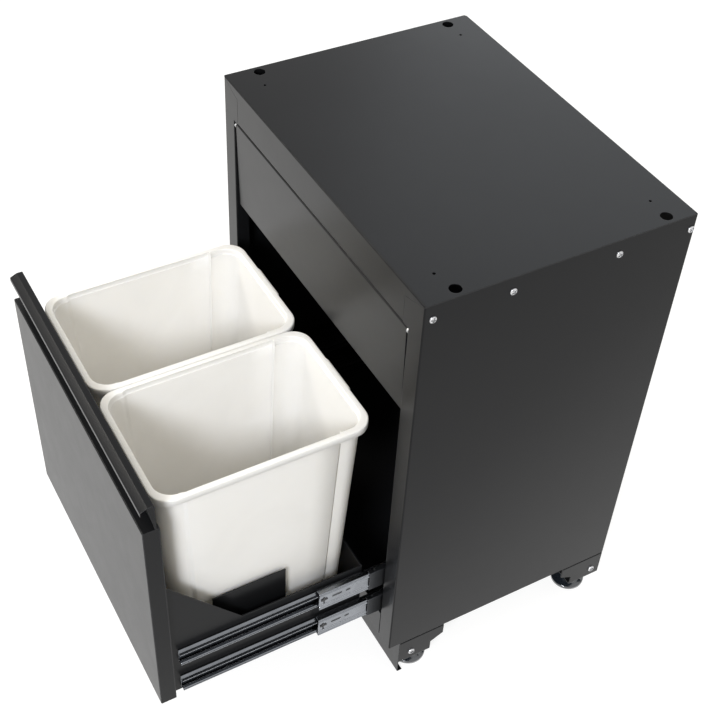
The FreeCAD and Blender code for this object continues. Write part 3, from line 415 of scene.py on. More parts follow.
def finish(name):
    """A finish by its name, made the first time that a piece asks for it."""
    made = bpy.data.materials.get(name)
    if made is not None:
        return made
    scene = bpy.context.scene
    coat, metal = scene.cabinet_paint, scene.cabinet_metal
    makers = {
        "powder_coat": lambda: paint(name, coat),
        # A darker copy of the powder coat for the pieces inside the carcass: painted shade
        "powder_coat_inside": lambda: paint(name, coat, 0.85, 0.03),
        "zinc_strip": lambda: plated(name, shaded(metal.zinc, 0.50), 0.20, 0.26),
        "zinc_channel": lambda: plated(name, shaded(metal.zinc, 0.36), 0.18, 0.24),
        # The cage strip is made far darker than the zinc as painted shade, so that the slots in front of
        # it look black
        "shaded_cage_strip": lambda: plated(name, shaded(metal.zinc, 0.12), 0.30, 0.46, (0.3, 0.3, 0.3)),
        "zinc_fastener": lambda: plated(name, metal.fastener, 0.22, 0.36),
        "black_plastic": lambda: plastic(
            name, (0.016, 0.016, 0.018), 0.36, 0.5, 0.00002, (0.06, 0.06, 0.06)),
        "gloss_black_plastic": lambda: plastic(
            name, scene.cabinet_feet.disc, 0.13, 0.22, 0.000004, (0.05, 0.06, 0.07),
            Coat_Weight=1.0, Coat_Roughness=0.08, Specular_IOR_Level=1.0),
        "white_plastic": lambda: plastic(
            name, scene.cabinet_bins.colour, 0.33, 0.44, 0.000008, (0.76, 0.75, 0.73),
            Subsurface_Weight=0.3, Subsurface_Radius=(1.0, 0.95, 0.85), Subsurface_Scale=0.008),
    }
    return makers[name]()


# ---------------------------------------------------------------- meshes
def dress(names, material):
    """Gives carried-over nodes their finish."""
    for name in names:
        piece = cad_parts[name]
        piece.data.materials.clear()
        piece.data.materials.append(finish(material))


def cad_box(name):
    """Lowest and highest corner of a node at rest."""
    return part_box(name)


def solids_of(name):
    """Lowest and highest corner of each separate solid in a node, at rest."""
    shell = bmesh.new()
    shell.from_mesh(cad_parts[name].data)
    bmesh.ops.remove_doubles(shell, verts=shell.verts, dist=1e-6)
    left, boxes = set(shell.verts), []
    while left:
        island, edge = set(), [left.pop()]
        while edge:
            vert = edge.pop()
            island.add(vert)
            near = {link.other_vert(vert) for link in vert.link_edges} & left
            left -= near
            edge.extend(near)
        places = np.array([vert.co for vert in island])
        boxes.append((Vector(places.min(0)), Vector(places.max(0))))
    shell.free()
    return sorted(boxes, key=lambda box: tuple(round(part, 4) for part in box[0]))


def outward(mesh, *others):
    """Adds other meshes to a mesh and turns the faces of each closed shell outward."""
    shell = bmesh.new()
    for part in (mesh, *others):
        shell.from_mesh(part)
    bmesh.ops.recalc_face_normals(shell, faces=shell.faces)
    shell.to_mesh(mesh)
    shell.free()
    mesh.update()
    return mesh


def mesh_of(name, points, faces):
    """A mesh with outward faces from points and faces."""
    mesh = bpy.data.meshes.new(name)
    mesh.from_pydata([tuple(point) for point in points], [], faces)
    return outward(mesh)


def finished(name, mesh, body, material, replaced, angle=38):
    """A piece of the cabinet from a mesh in place, in its finish, riding on its body."""
    piece = bpy.data.objects.new(name, mesh)
    bpy.context.scene.collection.objects.link(piece)
    mesh.materials.clear()
    mesh.materials.append(finish(material))
    mesh.shade_smooth()
    mesh.set_sharp_from_angle(angle=math.radians(angle))
    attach(piece, body)
    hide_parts(*replaced)


def ring_faces(rings, count):
    """Faces between rings of as many points each, closed with a flat face at both ends."""
    faces = [list(range(count))[::-1]]
    for ring in range(rings - 1):
        for step in range(count):
            after = (step + 1) % count
            faces.append([ring * count + step, ring * count + after,
                          (ring + 1) * count + after, (ring + 1) * count + step])
    faces.append([(rings - 1) * count + step for step in range(count)])
    return faces


def turned(profile, centre, steps):
    """Points and faces of a turned piece from (radius, height) pairs, bottom to top."""
    turns = [2 * math.pi * step / steps for step in range(steps)]
    points = [(centre[0] + radius * math.cos(turn), centre[1] + radius * math.sin(turn),
               centre[2] + height) for radius, height in profile for turn in turns]
    return points, ring_faces(len(profile), steps)


def corner_arc(centre, radius, start, end, steps):
    """(a, b) points of an arc, angles in degrees."""
    return [(centre[0] + radius * math.cos(math.radians(start + (end - start) * step / steps)),
             centre[1] + radius * math.sin(math.radians(start + (end - start) * step / steps)))
            for step in range(steps + 1)]


def offset_line(path, distance):
    """A path moved to its left, mitred at the corners."""
    ways = [Vector((b[0] - a[0], b[1] - a[1])).normalized() for a, b in zip(path, path[1:])]
    moved = []
    for index, (u, v) in enumerate(path):
        before, after = ways[max(index - 1, 0)], ways[min(index, len(ways) - 1)]
        share = distance / (1 + before.dot(after))
        moved.append((u - (before.y + after.y) * share, v + (before.x + after.x) * share))
    return moved


def eased(path, radii, steps=5):
    """A path with an arc of the given radius at each inner corner."""
    eased_path = [path[0]]
    for index in range(1, len(path) - 1):
        corner = Vector(path[index])
        before = (corner - Vector(path[index - 1])).normalized()
        after = (Vector(path[index + 1]) - corner).normalized()
        turn = before.angle(after)
        reach = radii[index] * math.tan(turn / 2)
        start, end = corner - before * reach, corner + after * reach
        for step in range(steps + 1):
            share = step / steps
            eased_path.append(tuple((1 - share) ** 2 * start + 2 * share * (1 - share) * corner
                                    + share ** 2 * end))
    eased_path.append(path[-1])
    return eased_path


def sheet_section(path, sheet, bend):
    """Closed outline of folded sheet whose outer face follows a path; the sheet lies to its left."""
    ways = [Vector((b[0] - a[0], b[1] - a[1])) for a, b in zip(path, path[1:])]
    turns = [0] + [a.x * b.y - a.y * b.x for a, b in zip(ways, ways[1:])] + [0]
    outer = [bend if turn > 0 else bend - sheet for turn in turns]
    inner = [bend - sheet if turn > 0 else bend for turn in turns]
    other = offset_line(path, sheet)
    return eased(path, outer) + eased(other[::-1], inner[::-1])


# ---------------------------------------------------------------- geometry nodes
def geometry_tree(name, inputs):
    """An empty geometry tree with a Geometry input, named inputs and a Geometry output."""
    tree = bpy.data.node_groups.new(name, "GeometryNodeTree")
    for socket, kind in {"Geometry": "Geometry", **inputs}.items():
        tree.interface.new_socket(socket, in_out="INPUT", socket_type="NodeSocket" + kind)
    tree.interface.new_socket("Geometry", in_out="OUTPUT", socket_type="NodeSocketGeometry")
    return tree, node(tree, "NodeGroupInput", 0, 0).outputs, node(tree, "NodeGroupOutput", 10, 0)


def joined(tree, column, row, first, second):
    """Two geometries as one."""
    made = node(tree, "GeometryNodeJoinGeometry", column, row, {"Geometry": first})
    feed(tree, made, {"Geometry": second})
    return made.outputs["Geometry"]


def ended(tree, column, geometry, given, result):
    """Ends a geometry tree with real geometry in its finish."""
    real = node(tree, "GeometryNodeRealizeInstances", column, 0, {"Geometry": geometry})
    dressed = node(tree, "GeometryNodeSetMaterial", column + 1, 0,
                   {"Geometry": real.outputs["Geometry"], "Material": given["Finish"]})
    feed(tree, result, {"Geometry": dressed.outputs["Geometry"]})
    return tree


def fastener_tree(name):
    """Sets a head and its shank on each place, along that place's direction."""
    tree, given, result = geometry_tree(name, {
        "Head": "Object", "Head radius": "Float", "Head height": "Float", "Shank radius": "Float",
        "Shank length": "Float", "Seed": "Int", "Finish": "Material"})
    shape = node(tree, "GeometryNodeObjectInfo", 1, 1, {"Object": given["Head"]})
    size = node(tree, "ShaderNodeCombineXYZ", 1, 2,
                {"X": given["Head radius"], "Y": given["Head radius"], "Z": given["Head height"]})
    head = node(tree, "GeometryNodeTransform", 2, 1,
                {"Geometry": shape.outputs["Geometry"], "Scale": size.outputs["Vector"]})
    shank = node(tree, "GeometryNodeMeshCylinder", 2, 3,
                 {"Vertices": 20, "Radius": given["Shank radius"], "Depth": given["Shank length"]})
    under = node(tree, "ShaderNodeCombineXYZ", 3, 4,
                 {"Z": multiplied(tree, 2, 4, given["Shank length"], -0.5)})
    hung = node(tree, "GeometryNodeTransform", 4, 3,
                {"Geometry": shank.outputs["Mesh"], "Translation": under.outputs["Vector"]})
    facing = node(tree, "GeometryNodeInputNamedAttribute", 3, 6, {"Name": "facing"},
                  data_type="FLOAT_VECTOR")
    aim = node(tree, "FunctionNodeAlignRotationToVector", 4, 6,
               {"Vector": facing.outputs["Attribute"]}, axis="Z")
    turn = node(tree, "FunctionNodeRandomValue", 3, 7, {3: 2 * math.pi, "Seed": given["Seed"]},
                data_type="FLOAT")
    round_z = node(tree, "ShaderNodeCombineXYZ", 4, 7, {"Z": turn.outputs[1]})
    spin = node(tree, "FunctionNodeEulerToRotation", 5, 7, {0: round_z.outputs["Vector"]})
    driven = node(tree, "FunctionNodeRotateRotation", 6, 6,
                  {"Rotation": aim.outputs["Rotation"], "Rotate By": spin.outputs[0]},
                  rotation_space="LOCAL")
    whole = joined(tree, 5, 2, head.outputs["Geometry"], hung.outputs["Geometry"])
    placed = node(tree, "GeometryNodeInstanceOnPoints", 7, 0,
                  {"Points": given["Geometry"], "Instance": whole,
                   "Rotation": driven.outputs["Rotation"]})
    return ended(tree, 8, placed.outputs["Instances"], given, result)


def drawn_tree(name):
    """Draws flat sections out along a line into closed bars."""
    tree, given, result = geometry_tree(name, {"Along": "Vector", "Finish": "Material"})
    drawn = node(tree, "GeometryNodeExtrudeMesh", 2, 0,
                 {"Mesh": given["Geometry"], "Offset": given["Along"], "Individual": False}, mode="FACES")
    back = node(tree, "GeometryNodeFlipFaces", 2, 2, {"Mesh": given["Geometry"]})
    merged = node(tree, "GeometryNodeMergeByDistance", 5, 0,
                  {"Geometry": joined(tree, 4, 0, drawn.outputs["Mesh"], back.outputs["Mesh"]),
                   "Distance": 0.00001})
    return ended(tree, 6, merged.outputs["Geometry"], given, result)


# The shared trees by name, with the function that makes each
TREES = {"Rounded edges": edge_group, "Powder coat grain": powder_group, "Zinc plate": plate_group,
         "Moulded plastic": moulded_group, "Fasteners on places": fastener_tree,
         "Section drawn out": drawn_tree}


def grown(name, base, kind, values):
    """The plain mesh that a geometry tree makes of a base mesh."""
    tree = once(kind)
    seedling = bpy.data.objects.new(name + "_base", base)
    bpy.context.scene.collection.objects.link(seedling)
    modifier = seedling.modifiers.new("shape", "NODES")
    modifier.node_group = tree
    sockets = {item.name: item.identifier for item in tree.interface.items_tree
               if item.in_out == "INPUT"}
    for socket, value in values.items():
        modifier[sockets[socket]] = value
    seedling.update_tag()
    graph = bpy.context.evaluated_depsgraph_get()
    mesh = bpy.data.meshes.new_from_object(seedling.evaluated_get(graph), depsgraph=graph)
    mesh.name = name
    seedling.modifiers.clear()
    bpy.data.objects.remove(seedling)
    if not mesh.polygons:
        raise RuntimeError(f"{name} came out of its tree empty")
    return mesh


def drawn_out(name, sections, along, material, *others):
    """Bars drawn along a line from closed outlines of points, with other meshes added."""
    points, faces = [], []
    for section in sections:
        faces.append(list(range(len(points), len(points) + len(section))))
        points += section
    base = mesh_of(name + "_section", points, faces)
    mesh = grown(name, base, "Section drawn out", {"Along": along, "Finish": finish(material)})
    return outward(mesh, *others)


def cross_reach(angle, width=0.23, length=0.72):
    """Edge of a cross recess at an angle, as a share of the head radius."""
    folded = abs((angle + math.pi / 4) % (math.pi / 2) - math.pi / 4)
    if math.tan(folded) * length <= width:
        return length / math.cos(folded)
    return width / math.sin(folded)


def hexagon_reach(angle, radius=0.70):
    """Edge of a hexagon socket at an angle, as a share of the head radius."""
    folded = (angle % (math.pi / 3)) - math.pi / 6
    return radius * math.cos(math.pi / 6) / math.cos(folded)


def head_mesh(name, reach, depth, steps=72):
    """A domed head of radius 1 and height 1 with a recess of the given outline."""
    # Radius and height of each ring; None is the height of the dome there
    recess = ((0.03, 1 - depth), (0.70, 1 - depth), (0.92, 1 - depth * 0.86), (0.97, 1 - depth * 0.3),
              (1.02, None), (1.10, None))
    dome = ((0.74, None), (0.84, None), (0.92, None), (0.97, 0.46), (0.995, 0.36), (1.0, 0.24),
            (1.0, 0.0))
    points = []
    for index, (radius, height) in enumerate(recess + dome):
        for step in range(steps):
            angle = 2 * math.pi * step / steps
            far = radius * reach(angle) if index < len(recess) else radius
            level = 1 - 0.52 * far ** 3.2 if height is None else height
            points.append((far * math.cos(angle), far * math.sin(angle), level))
    return mesh_of(name, points, ring_faces(len(recess + dome), steps))


def fasteners(name, places, reach, depth, sizes, body, replaced):
    """Heads with their shanks on places, each a point and a direction, as one piece.

    sizes are the head's radius and height, and the shank's radius and length.
    """
    scene = bpy.context.scene
    base = bpy.data.meshes.new(name + "_places")
    base.from_pydata([tuple(point) for point, _ in places], [], [])
    facing = base.attributes.new("facing", "FLOAT_VECTOR", "POINT")
    facing.data.foreach_set("vector", [part for _, way in places for part in way])
    head = bpy.data.objects.new(name + "_head", head_mesh(name + "_head", reach, depth))
    scene.collection.objects.link(head)
    values = dict(zip(("Head radius", "Head height", "Shank radius", "Shank length"), sizes))
    values.update({"Head": head, "Seed": scene.cabinet_screws.seed, "Finish": finish("zinc_fastener")})
    mesh = grown(name, base, "Fasteners on places", values)
    bpy.data.objects.remove(head)
    finished(name, mesh, body, "zinc_fastener", replaced, 30)


def outer_end(box, axis, sign):
    """Middle of a box's face on one side, and that side's direction."""
    low, high = box
    point = (low + high) / 2
    point[axis] = high[axis] if sign > 0 else low[axis]
    way = Vector((0, 0, 0))
    way[axis] = sign
    return point, way


# ---------------------------------------------------------------- bins
# Depth of a bin at its rim, draft of its walls, and set-back of its body under the rim
BIN_DEPTH = 0.384
BIN_DRAFT = 0.014
REAR_DRAFT = 0.0105
BODY_SET_BACK = 0.0095
RIM_RADIUS, BODY_RADIUS = 0.035, 0.034
# Rise of the side panels, and the groove behind them as a share of that rise
PANEL_RISE = 0.004
GROOVE = -0.5
# The skirt under the rim, and how far the body's top lies under the rim's
SKIRT = 0.014
SKIRT_WALL = 0.0025
RIM_PLATE = 0.003
# The grip in the rear of the rim: its depth, and its outline by place and share of the depth
GRIP_DEPTH = 0.0026
GRIP = ((0.0425, 0.0), (0.0385, 0.8), (0.0365, 1.0), (0.02, 1.0), (0.0, 1.0),
        (-0.02, 1.0), (-0.0365, 1.0), (-0.0385, 0.8), (-0.0425, 0.0))
# Roundings of the foot outside and of the mouth, and levels of the rings between, from foot to rim
FOOT_ROUNDING, MOUTH_ROUNDING = 0.006, 0.0018
LEVELS = (0.15, 0.4, 0.7, 0.93)


def bin_ring(box, height, lean, inward, radius, rise, bump=0.0):
    """Points round a bin at one height, anticlockwise from the front right corner.

    lean is how far the walls stand inside the rim's box, inward the extra set-back of the body under
    the rim, rise how far the side panels stand out, and bump the rear grip's depth.
    """
    low, high = box
    middle = (low.x + high.x) / 2
    level = min(1.0, max(0.0, (high.z - RIM_PLATE - height) / (high.z - low.z - RIM_PLATE)))
    side = (high.x - low.x) / 2 - inward - lean
    front = low.y + inward + lean
    rear = low.y + BIN_DEPTH - inward - lean - REAR_DRAFT * level
    steps, crease, slope, cliff, edge = 9, 0.0007, 0.006, 0.0022, 0.0004
    first, last = low.y + 0.0465 + 0.015 * level, low.y + BIN_DEPTH - 0.0605 - 0.017 * level
    span = last - first - slope - cliff
    marks = [(first - crease, 0.0), (first + crease, crease / slope),
             (first + slope - crease, 1 - crease / slope), (first + slope + crease, 1.0)]
    marks += [(first + slope + span * part / 6, 1.0) for part in range(1, 6)]
    marks += [(last - cliff - edge, 1.0), (last - cliff + edge, 1 - edge / cliff),
              (last - edge, GROOVE), (last + 0.0012, GROOVE), (last + 0.0022, 0.0)]
    right = [(side + rise * share, y) for y, share in marks]
    reach = side - radius
    outline = corner_arc((reach, front + radius), radius, -90, 0, steps)
    outline += right
    outline += corner_arc((reach, rear - radius), radius, 0, 90, steps)
    outline += [(x, rear + bump * share) for x, share in GRIP]
    outline += corner_arc((-reach, rear - radius), radius, 90, 180, steps)
    outline += [(-x, y) for x, y in right[::-1]]
    outline += corner_arc((-reach, front + radius), radius, 180, 270, steps)
    outline += [(side * part, front) for part in (-0.5, -0.25, 0.0, 0.25, 0.5)]
    return [(middle + x, y, height) for x, y in outline]


def quarter(steps):
    """Over a quarter turn: the share of it, and how far its cosine and its sine lie under one."""
    for step in range(steps + 1):
        turn = math.radians(90 * step / steps)
        yield step / steps, 1 - math.cos(turn), 1 - math.sin(turn)


def bin_rings(box, settings):
    """Rings of a bin from the middle of its underside, up the outside, over the rim and down inside."""
    low, high = box
    floor, top = low.z, high.z
    plate = top - RIM_PLATE
    wall, lip, cove = settings.wall, settings.rim_rounding, settings.floor_rounding
    mouth = wall - 0.0012
    rings = []

    def body(height, inset, rise=PANEL_RISE):
        level = min(1.0, max(0.0, (plate - height) / (plate - floor)))
        rings.append(bin_ring(box, height, BIN_DRAFT * level + inset, BODY_SET_BACK,
                              max(0.006, BODY_RADIUS - inset), rise))

    def rim(height, inset, bump=0.0):
        rings.append(bin_ring(box, height, inset, 0.0, RIM_RADIUS - inset, 0.0, bump))

    body(floor + 0.0008, 0.030, 0.0)
    body(floor, 0.024, 0.0)
    body(floor, 0.007, 0.0)
    for share, cosine, sine in quarter(4):
        body(floor + FOOT_ROUNDING * cosine, FOOT_ROUNDING * sine, PANEL_RISE * share)
    for share in LEVELS:
        body(floor + (plate - floor) * share, 0.0)
    body(plate - 0.0035, 0.0)
    body(plate - 0.001, -0.0008)
    body(plate, -0.0032, PANEL_RISE * 0.4)
    rim(plate, SKIRT_WALL + 0.002)
    rim(plate - 0.0015, SKIRT_WALL)
    rim(top - SKIRT + 0.0008, SKIRT_WALL)
    rim(top - SKIRT, SKIRT_WALL - 0.0007)
    rim(top - SKIRT, 0.0006, 0.0022)
    rim(top - SKIRT + 0.0007, 0.0, GRIP_DEPTH)
    rim(top - lip - 0.0004, 0.0, GRIP_DEPTH)
    for share, cosine, sine in list(quarter(4))[1:]:
        rim(top - lip * sine, lip * cosine, GRIP_DEPTH * (1 - share))
    rim(top, lip + 0.0012)
    body(top, mouth - MOUTH_ROUNDING, PANEL_RISE * 0.2)
    for share, cosine, sine in list(quarter(4))[1:]:
        body(top - MOUTH_ROUNDING * cosine, mouth - MOUTH_ROUNDING * sine,
             PANEL_RISE * (0.2 + 0.8 * share))
    body(top - 0.0095, mouth)
    body(top - 0.0105, wall - 0.0007)
    body(top - 0.0112, wall + 0.0004)
    for share in LEVELS[::-1]:
        body(floor + (plate - floor) * share, wall)
    for share, cosine, sine in quarter(5):
        body(floor + wall + cove * sine, wall + cove * cosine, PANEL_RISE * (1 - share))
    body(floor + wall, wall + cove + 0.014, 0.0)
    return rings


# Outline of a release lever beside its pivot, in metres along the slide and up
LEVER = ((0.0, -0.0022), (0.0035, -0.0024), (0.0042, -0.0062), (0.0064, -0.0066), (0.0072, -0.0024),
         (0.0125, -0.0016), (0.0134, 0.0), (0.0125, 0.0016), (0.0078, 0.0026), (0.0070, 0.0070),
         (0.0045, 0.0072), (0.0036, 0.0026), (0.0, 0.0022))
# Slots and hole of a middle member, in metres from its front end and above its middle
SLOTS = ((0.026, 0.047), (0.054, 0.064))
SLOT_LEVEL = 0.003
HOLE_BACK, HOLE_LEVEL, HOLE_RADIUS = 0.0105, -0.0078, 0.0022
# How far a gusset's lower tip stands out from its rear edge and up from the profile's foot
GUSSET_TIP = 0.0012
# The spindles' thread: rows of points to a turn, and the length of the chamfer at each end
ROWS_PER_TURN = 5
THREAD_CHAMFER = 0.0012


# ---------------------------------------------------------------- operators
class CABINET_OT_carcass(bpy.types.Operator):
    """Gives the carcass, plinth and foot brackets their powder coat"""
    bl_idname = "cabinet.carcass"
    bl_label = "Carcass"

    def execute(self, context):
        dress(OUTER_STEEL, "powder_coat")
        # The inside pieces take the darker copy of the coat, painted shade
        dress(INNER_STEEL, "powder_coat_inside")
        return {"FINISHED"}


class CABINET_OT_flap(bpy.types.Operator):
    """Gives the swing flap its powder coat and its pins their zinc"""
    bl_idname = "cabinet.flap"
    bl_label = "Flap"

    def execute(self, context):
        dress(("flap_panel",), "powder_coat")
        dress(("flap_pins",), "zinc_fastener")
        return {"FINISHED"}


class CABINET_OT_drawer(bpy.types.Operator):
    """Gives the drawer front and the tray their powder coat"""
    bl_idname = "cabinet.drawer"
    bl_label = "Drawer"

    def execute(self, context):
        dress(DRAWER_STEEL, "powder_coat")
        return {"FINISHED"}


class CABINET_OT_handle(bpy.types.Operator):
    """Draws the grip profile from its section and closes its ends with gussets"""
    bl_idname = "cabinet.handle"
    bl_label = "Handle profile"

    def execute(self, context):
        sizes = context.scene.cabinet_handle
        low, high = cad_box("handle_profile")
        path = [(high.y, low.z), (high.y, high.z), (high.y - sizes.flat, high.z),
                (low.y, high.z - sizes.drop), (low.y, high.z - sizes.drop - sizes.lip)]
        section = [(low.x, y, z) for y, z in sheet_section(path, sizes.sheet, sizes.bend)]
        rear, top, foot = high.y - sizes.sheet, high.z - sizes.sheet, low.z + GUSSET_TIP
        gusset = [(rear, top), (high.y - sizes.gusset, top), (rear - GUSSET_TIP, foot), (rear, foot)]
        plates = []
        for start, end in ((low.x, low.x + sizes.sheet), (high.x - sizes.sheet, high.x)):
            points = [(x, y, z) for x in (start, end) for y, z in gusset]
            plates.append(mesh_of("gusset", points, ring_faces(2, len(gusset))))
        mesh = drawn_out("handle", [section], (high.x - low.x, 0.0, 0.0), "powder_coat", *plates)
        finished("handle", mesh, "drawer", "powder_coat", ("handle_profile",))
        return {"FINISHED"}


class CABINET_OT_slides(bpy.types.Operator):
    """Rolls the slides' members, shapes their levers and plates the cages, balls and screws"""
    bl_idname = "cabinet.slides"
    bl_label = "Slides"

    def execute(self, context):
        sizes = context.scene.cabinet_slides
        for level, side in SLIDES:
            self.drawer_member(f"slide_drawer_member_{level}_{side}", side, sizes)
            self.middle_member(f"slide_middle_member_{level}_{side}", side, sizes)
            dress((f"slide_cabinet_member_{level}_{side}",), "zinc_channel")
        dress(("slide_screws", "weld_nuts"), "zinc_fastener")
        # The cages take the cage strip that is darkened as painted shade
        dress(("outer_cages_left", "outer_cages_right", "inner_cages_left", "inner_cages_right"),
              "shaded_cage_strip")
        for side in ("left", "right"):
            self.levers("slide_levers_" + side, side, sizes)
        return {"FINISHED"}

    def levers(self, node_name, side, sizes):
        """The release levers of one side, each a bar with a thumb rest and a pivot."""
        solids = solids_of(node_name)
        way = 1 if side == "right" else -1
        near, far = solids[0][0].x, solids[0][1].x
        start = (near if way > 0 else far) - way * sizes.ledge
        sections = []
        for low, high in solids:
            y, z = low.y + 0.001, (low.z + high.z) / 2 - 0.0015
            sections.append([(start, y + along, z + up) for along, up in LEVER])
        name = "shaped_" + node_name
        mesh = drawn_out(name, sections, (way * (far - near + 0.0003), 0.0, 0.0), "black_plastic")
        finished(name, mesh, "slide_middle_" + side, "black_plastic", (node_name,), 30)

    def rolled(self, node_name, body, sections, box, metal, *others):
        """A member drawn along Y from closed (x, z) sections."""
        low, high = box
        name = "rolled_" + node_name
        outlines = [[(x, low.y, z) for x, z in section] for section in sections]
        mesh = drawn_out(name, outlines, (0.0, high.y - low.y, 0.0), metal, *others)
        finished(name, mesh, body, metal, (node_name,), 30)

    def drawer_member(self, node_name, side, sizes):
        """A channel open to the cabinet, with a ball groove along each flange."""
        low, high = cad_box(node_name)
        way = 1 if side == "right" else -1
        web = low.x if way > 0 else high.x
        middle, half, wide = (low.z + high.z) / 2, (high.z - low.z) / 2, high.x - low.x
        lip, dip = half - sizes.lip, half - sizes.groove - 0.0006
        upper = [(wide, lip), (wide - 0.0016, lip), (wide - 0.0036, dip), (wide - 0.0060, dip),
                 (0.0030, half), (0.0, half)]
        path = upper + [(u, -v) for u, v in upper[::-1]]
        section = [(web + way * u, middle + v) for u, v in sheet_section(path, sizes.sheet, 0.0016)]
        self.rolled(node_name, "drawer", [section], (low, high), "zinc_channel")

    def middle_member(self, node_name, side, sizes):
        """A slotted plate between two rolled edges, each with a step and a flange."""
        low, high = cad_box(node_name)
        way = 1 if side == "right" else -1
        face = high.x if way > 0 else low.x
        middle, half, wide = (low.z + high.z) / 2, (high.z - low.z) / 2, high.x - low.x
        plate, step = sizes.plate / 2, sizes.ledge
        edge = [(step, plate), (step, plate + 0.0003), (0.0, plate + 0.0016), (0.0, plate + 0.0040),
                (step, plate + 0.0056), (step, plate + 0.0078), (0.0003, half - 0.0026),
                (0.0003, half - 0.0012), (0.0015, half), (wide, half)]
        sections = []
        for sign in (1, -1):
            line = [(u, sign * v) for u, v in edge]
            shape = sheet_section(line, sizes.sheet * -sign, 0.0007)
            sections.append([(face - way * u, middle + v) for u, v in shape])
        front = face - way * step
        slotted = self.slotted(node_name, low, high, (front, front - way * sizes.sheet), plate,
                               sizes.slot_height / 2)
        self.rolled(node_name, "slide_middle_" + side, sections, (low, high), "zinc_strip", slotted)

    def slotted(self, name, low, high, faces, half, turn):
        """The flat plate of a middle member with two slots and a hole near its front end."""
        middle = (low.z + high.z) / 2
        loops = [[(low.y, -half), (high.y, -half), (high.y, half), (low.y, half)]]
        for start, end in SLOTS:
            loops.append(corner_arc((low.y + end - turn, SLOT_LEVEL), turn, -90, 90, 6)
                         + corner_arc((low.y + start + turn, SLOT_LEVEL), turn, 90, 270, 6))
        loops.append(corner_arc((low.y + HOLE_BACK, HOLE_LEVEL), HOLE_RADIUS, 0, 345, 15))
        shell = bmesh.new()
        for loop in loops:
            verts = [shell.verts.new((faces[0], y, middle + v)) for y, v in loop]
            for first, second in zip(verts, verts[1:] + verts[:1]):
                shell.edges.new((first, second))
        bmesh.ops.triangle_fill(shell, use_beauty=True, edges=shell.edges[:])
        back = bmesh.ops.extrude_face_region(shell, geom=shell.faces[:], use_keep_orig=True)
        moved = [item for item in back["geom"] if isinstance(item, bmesh.types.BMVert)]
        bmesh.ops.translate(shell, verts=moved, vec=(faces[1] - faces[0], 0, 0))
        mesh = bpy.data.meshes.new(name + "_plate")
        shell.to_mesh(mesh)
        shell.free()
        return mesh


class CABINET_OT_screws(bpy.types.Operator):
    """Sets the screws of the top, back and drawer front and the bolts of the foot brackets"""
    bl_idname = "cabinet.screws"
    bl_label = "Screws and bolts"

    def execute(self, context):
        sizes = context.scene.cabinet_screws
        # Radius and height of the head, radius and length of the shank
        panel_head = (sizes.head_radius, sizes.head_height, 0.0025, 0.011)
        flat_head = (sizes.head_radius, 0.002, 0.0025, 0.011)
        small_head = (0.004, 0.002, 0.002, 0.0055)
        bolt_head = (sizes.bolt_radius, sizes.bolt_height, 0.004, 0.0135)
        # Piece, its node, axis of the screws, body, sizes, outline and depth of the recess
        for name, node_name, axis, body, kind, reach, depth in (
                ("top_screws", "top_panel_screws", 0, "carcass", panel_head, cross_reach, 0.70),
                ("back_screws", "back_panel_screws", 1, "carcass", flat_head, cross_reach, 0.70),
                ("front_screws", "drawer_front_screws", 1, "drawer", small_head, cross_reach, 0.70),
                ("bracket_bolts", "foot_bracket_bolts", 0, "carcass", bolt_head, hexagon_reach, 0.92)):
            places = []
            for box in solids_of(node_name):
                point, way = outer_end(box, axis, 1 if axis == 1 or box[0].x > 0 else -1)
                places.append((point - way * kind[1], way))
            fasteners(name, places, reach, depth, kind, body, (node_name,))
        return {"FINISHED"}


class CABINET_OT_bins(bpy.types.Operator):
    """Builds the two moulded bins with their rims, raised side panels and rear grips"""
    bl_idname = "cabinet.bins"
    bl_label = "Bins"

    def execute(self, context):
        for side in ("left", "right"):
            name = "bin_" + side
            rings = bin_rings(cad_box(name), context.scene.cabinet_bins)
            points = [point for ring in rings for point in ring]
            mesh = mesh_of("moulded_" + name, points, ring_faces(len(rings), len(rings[0])))
            finished("moulded_" + name, mesh, name, "white_plastic", (name,), 50)
        return {"FINISHED"}


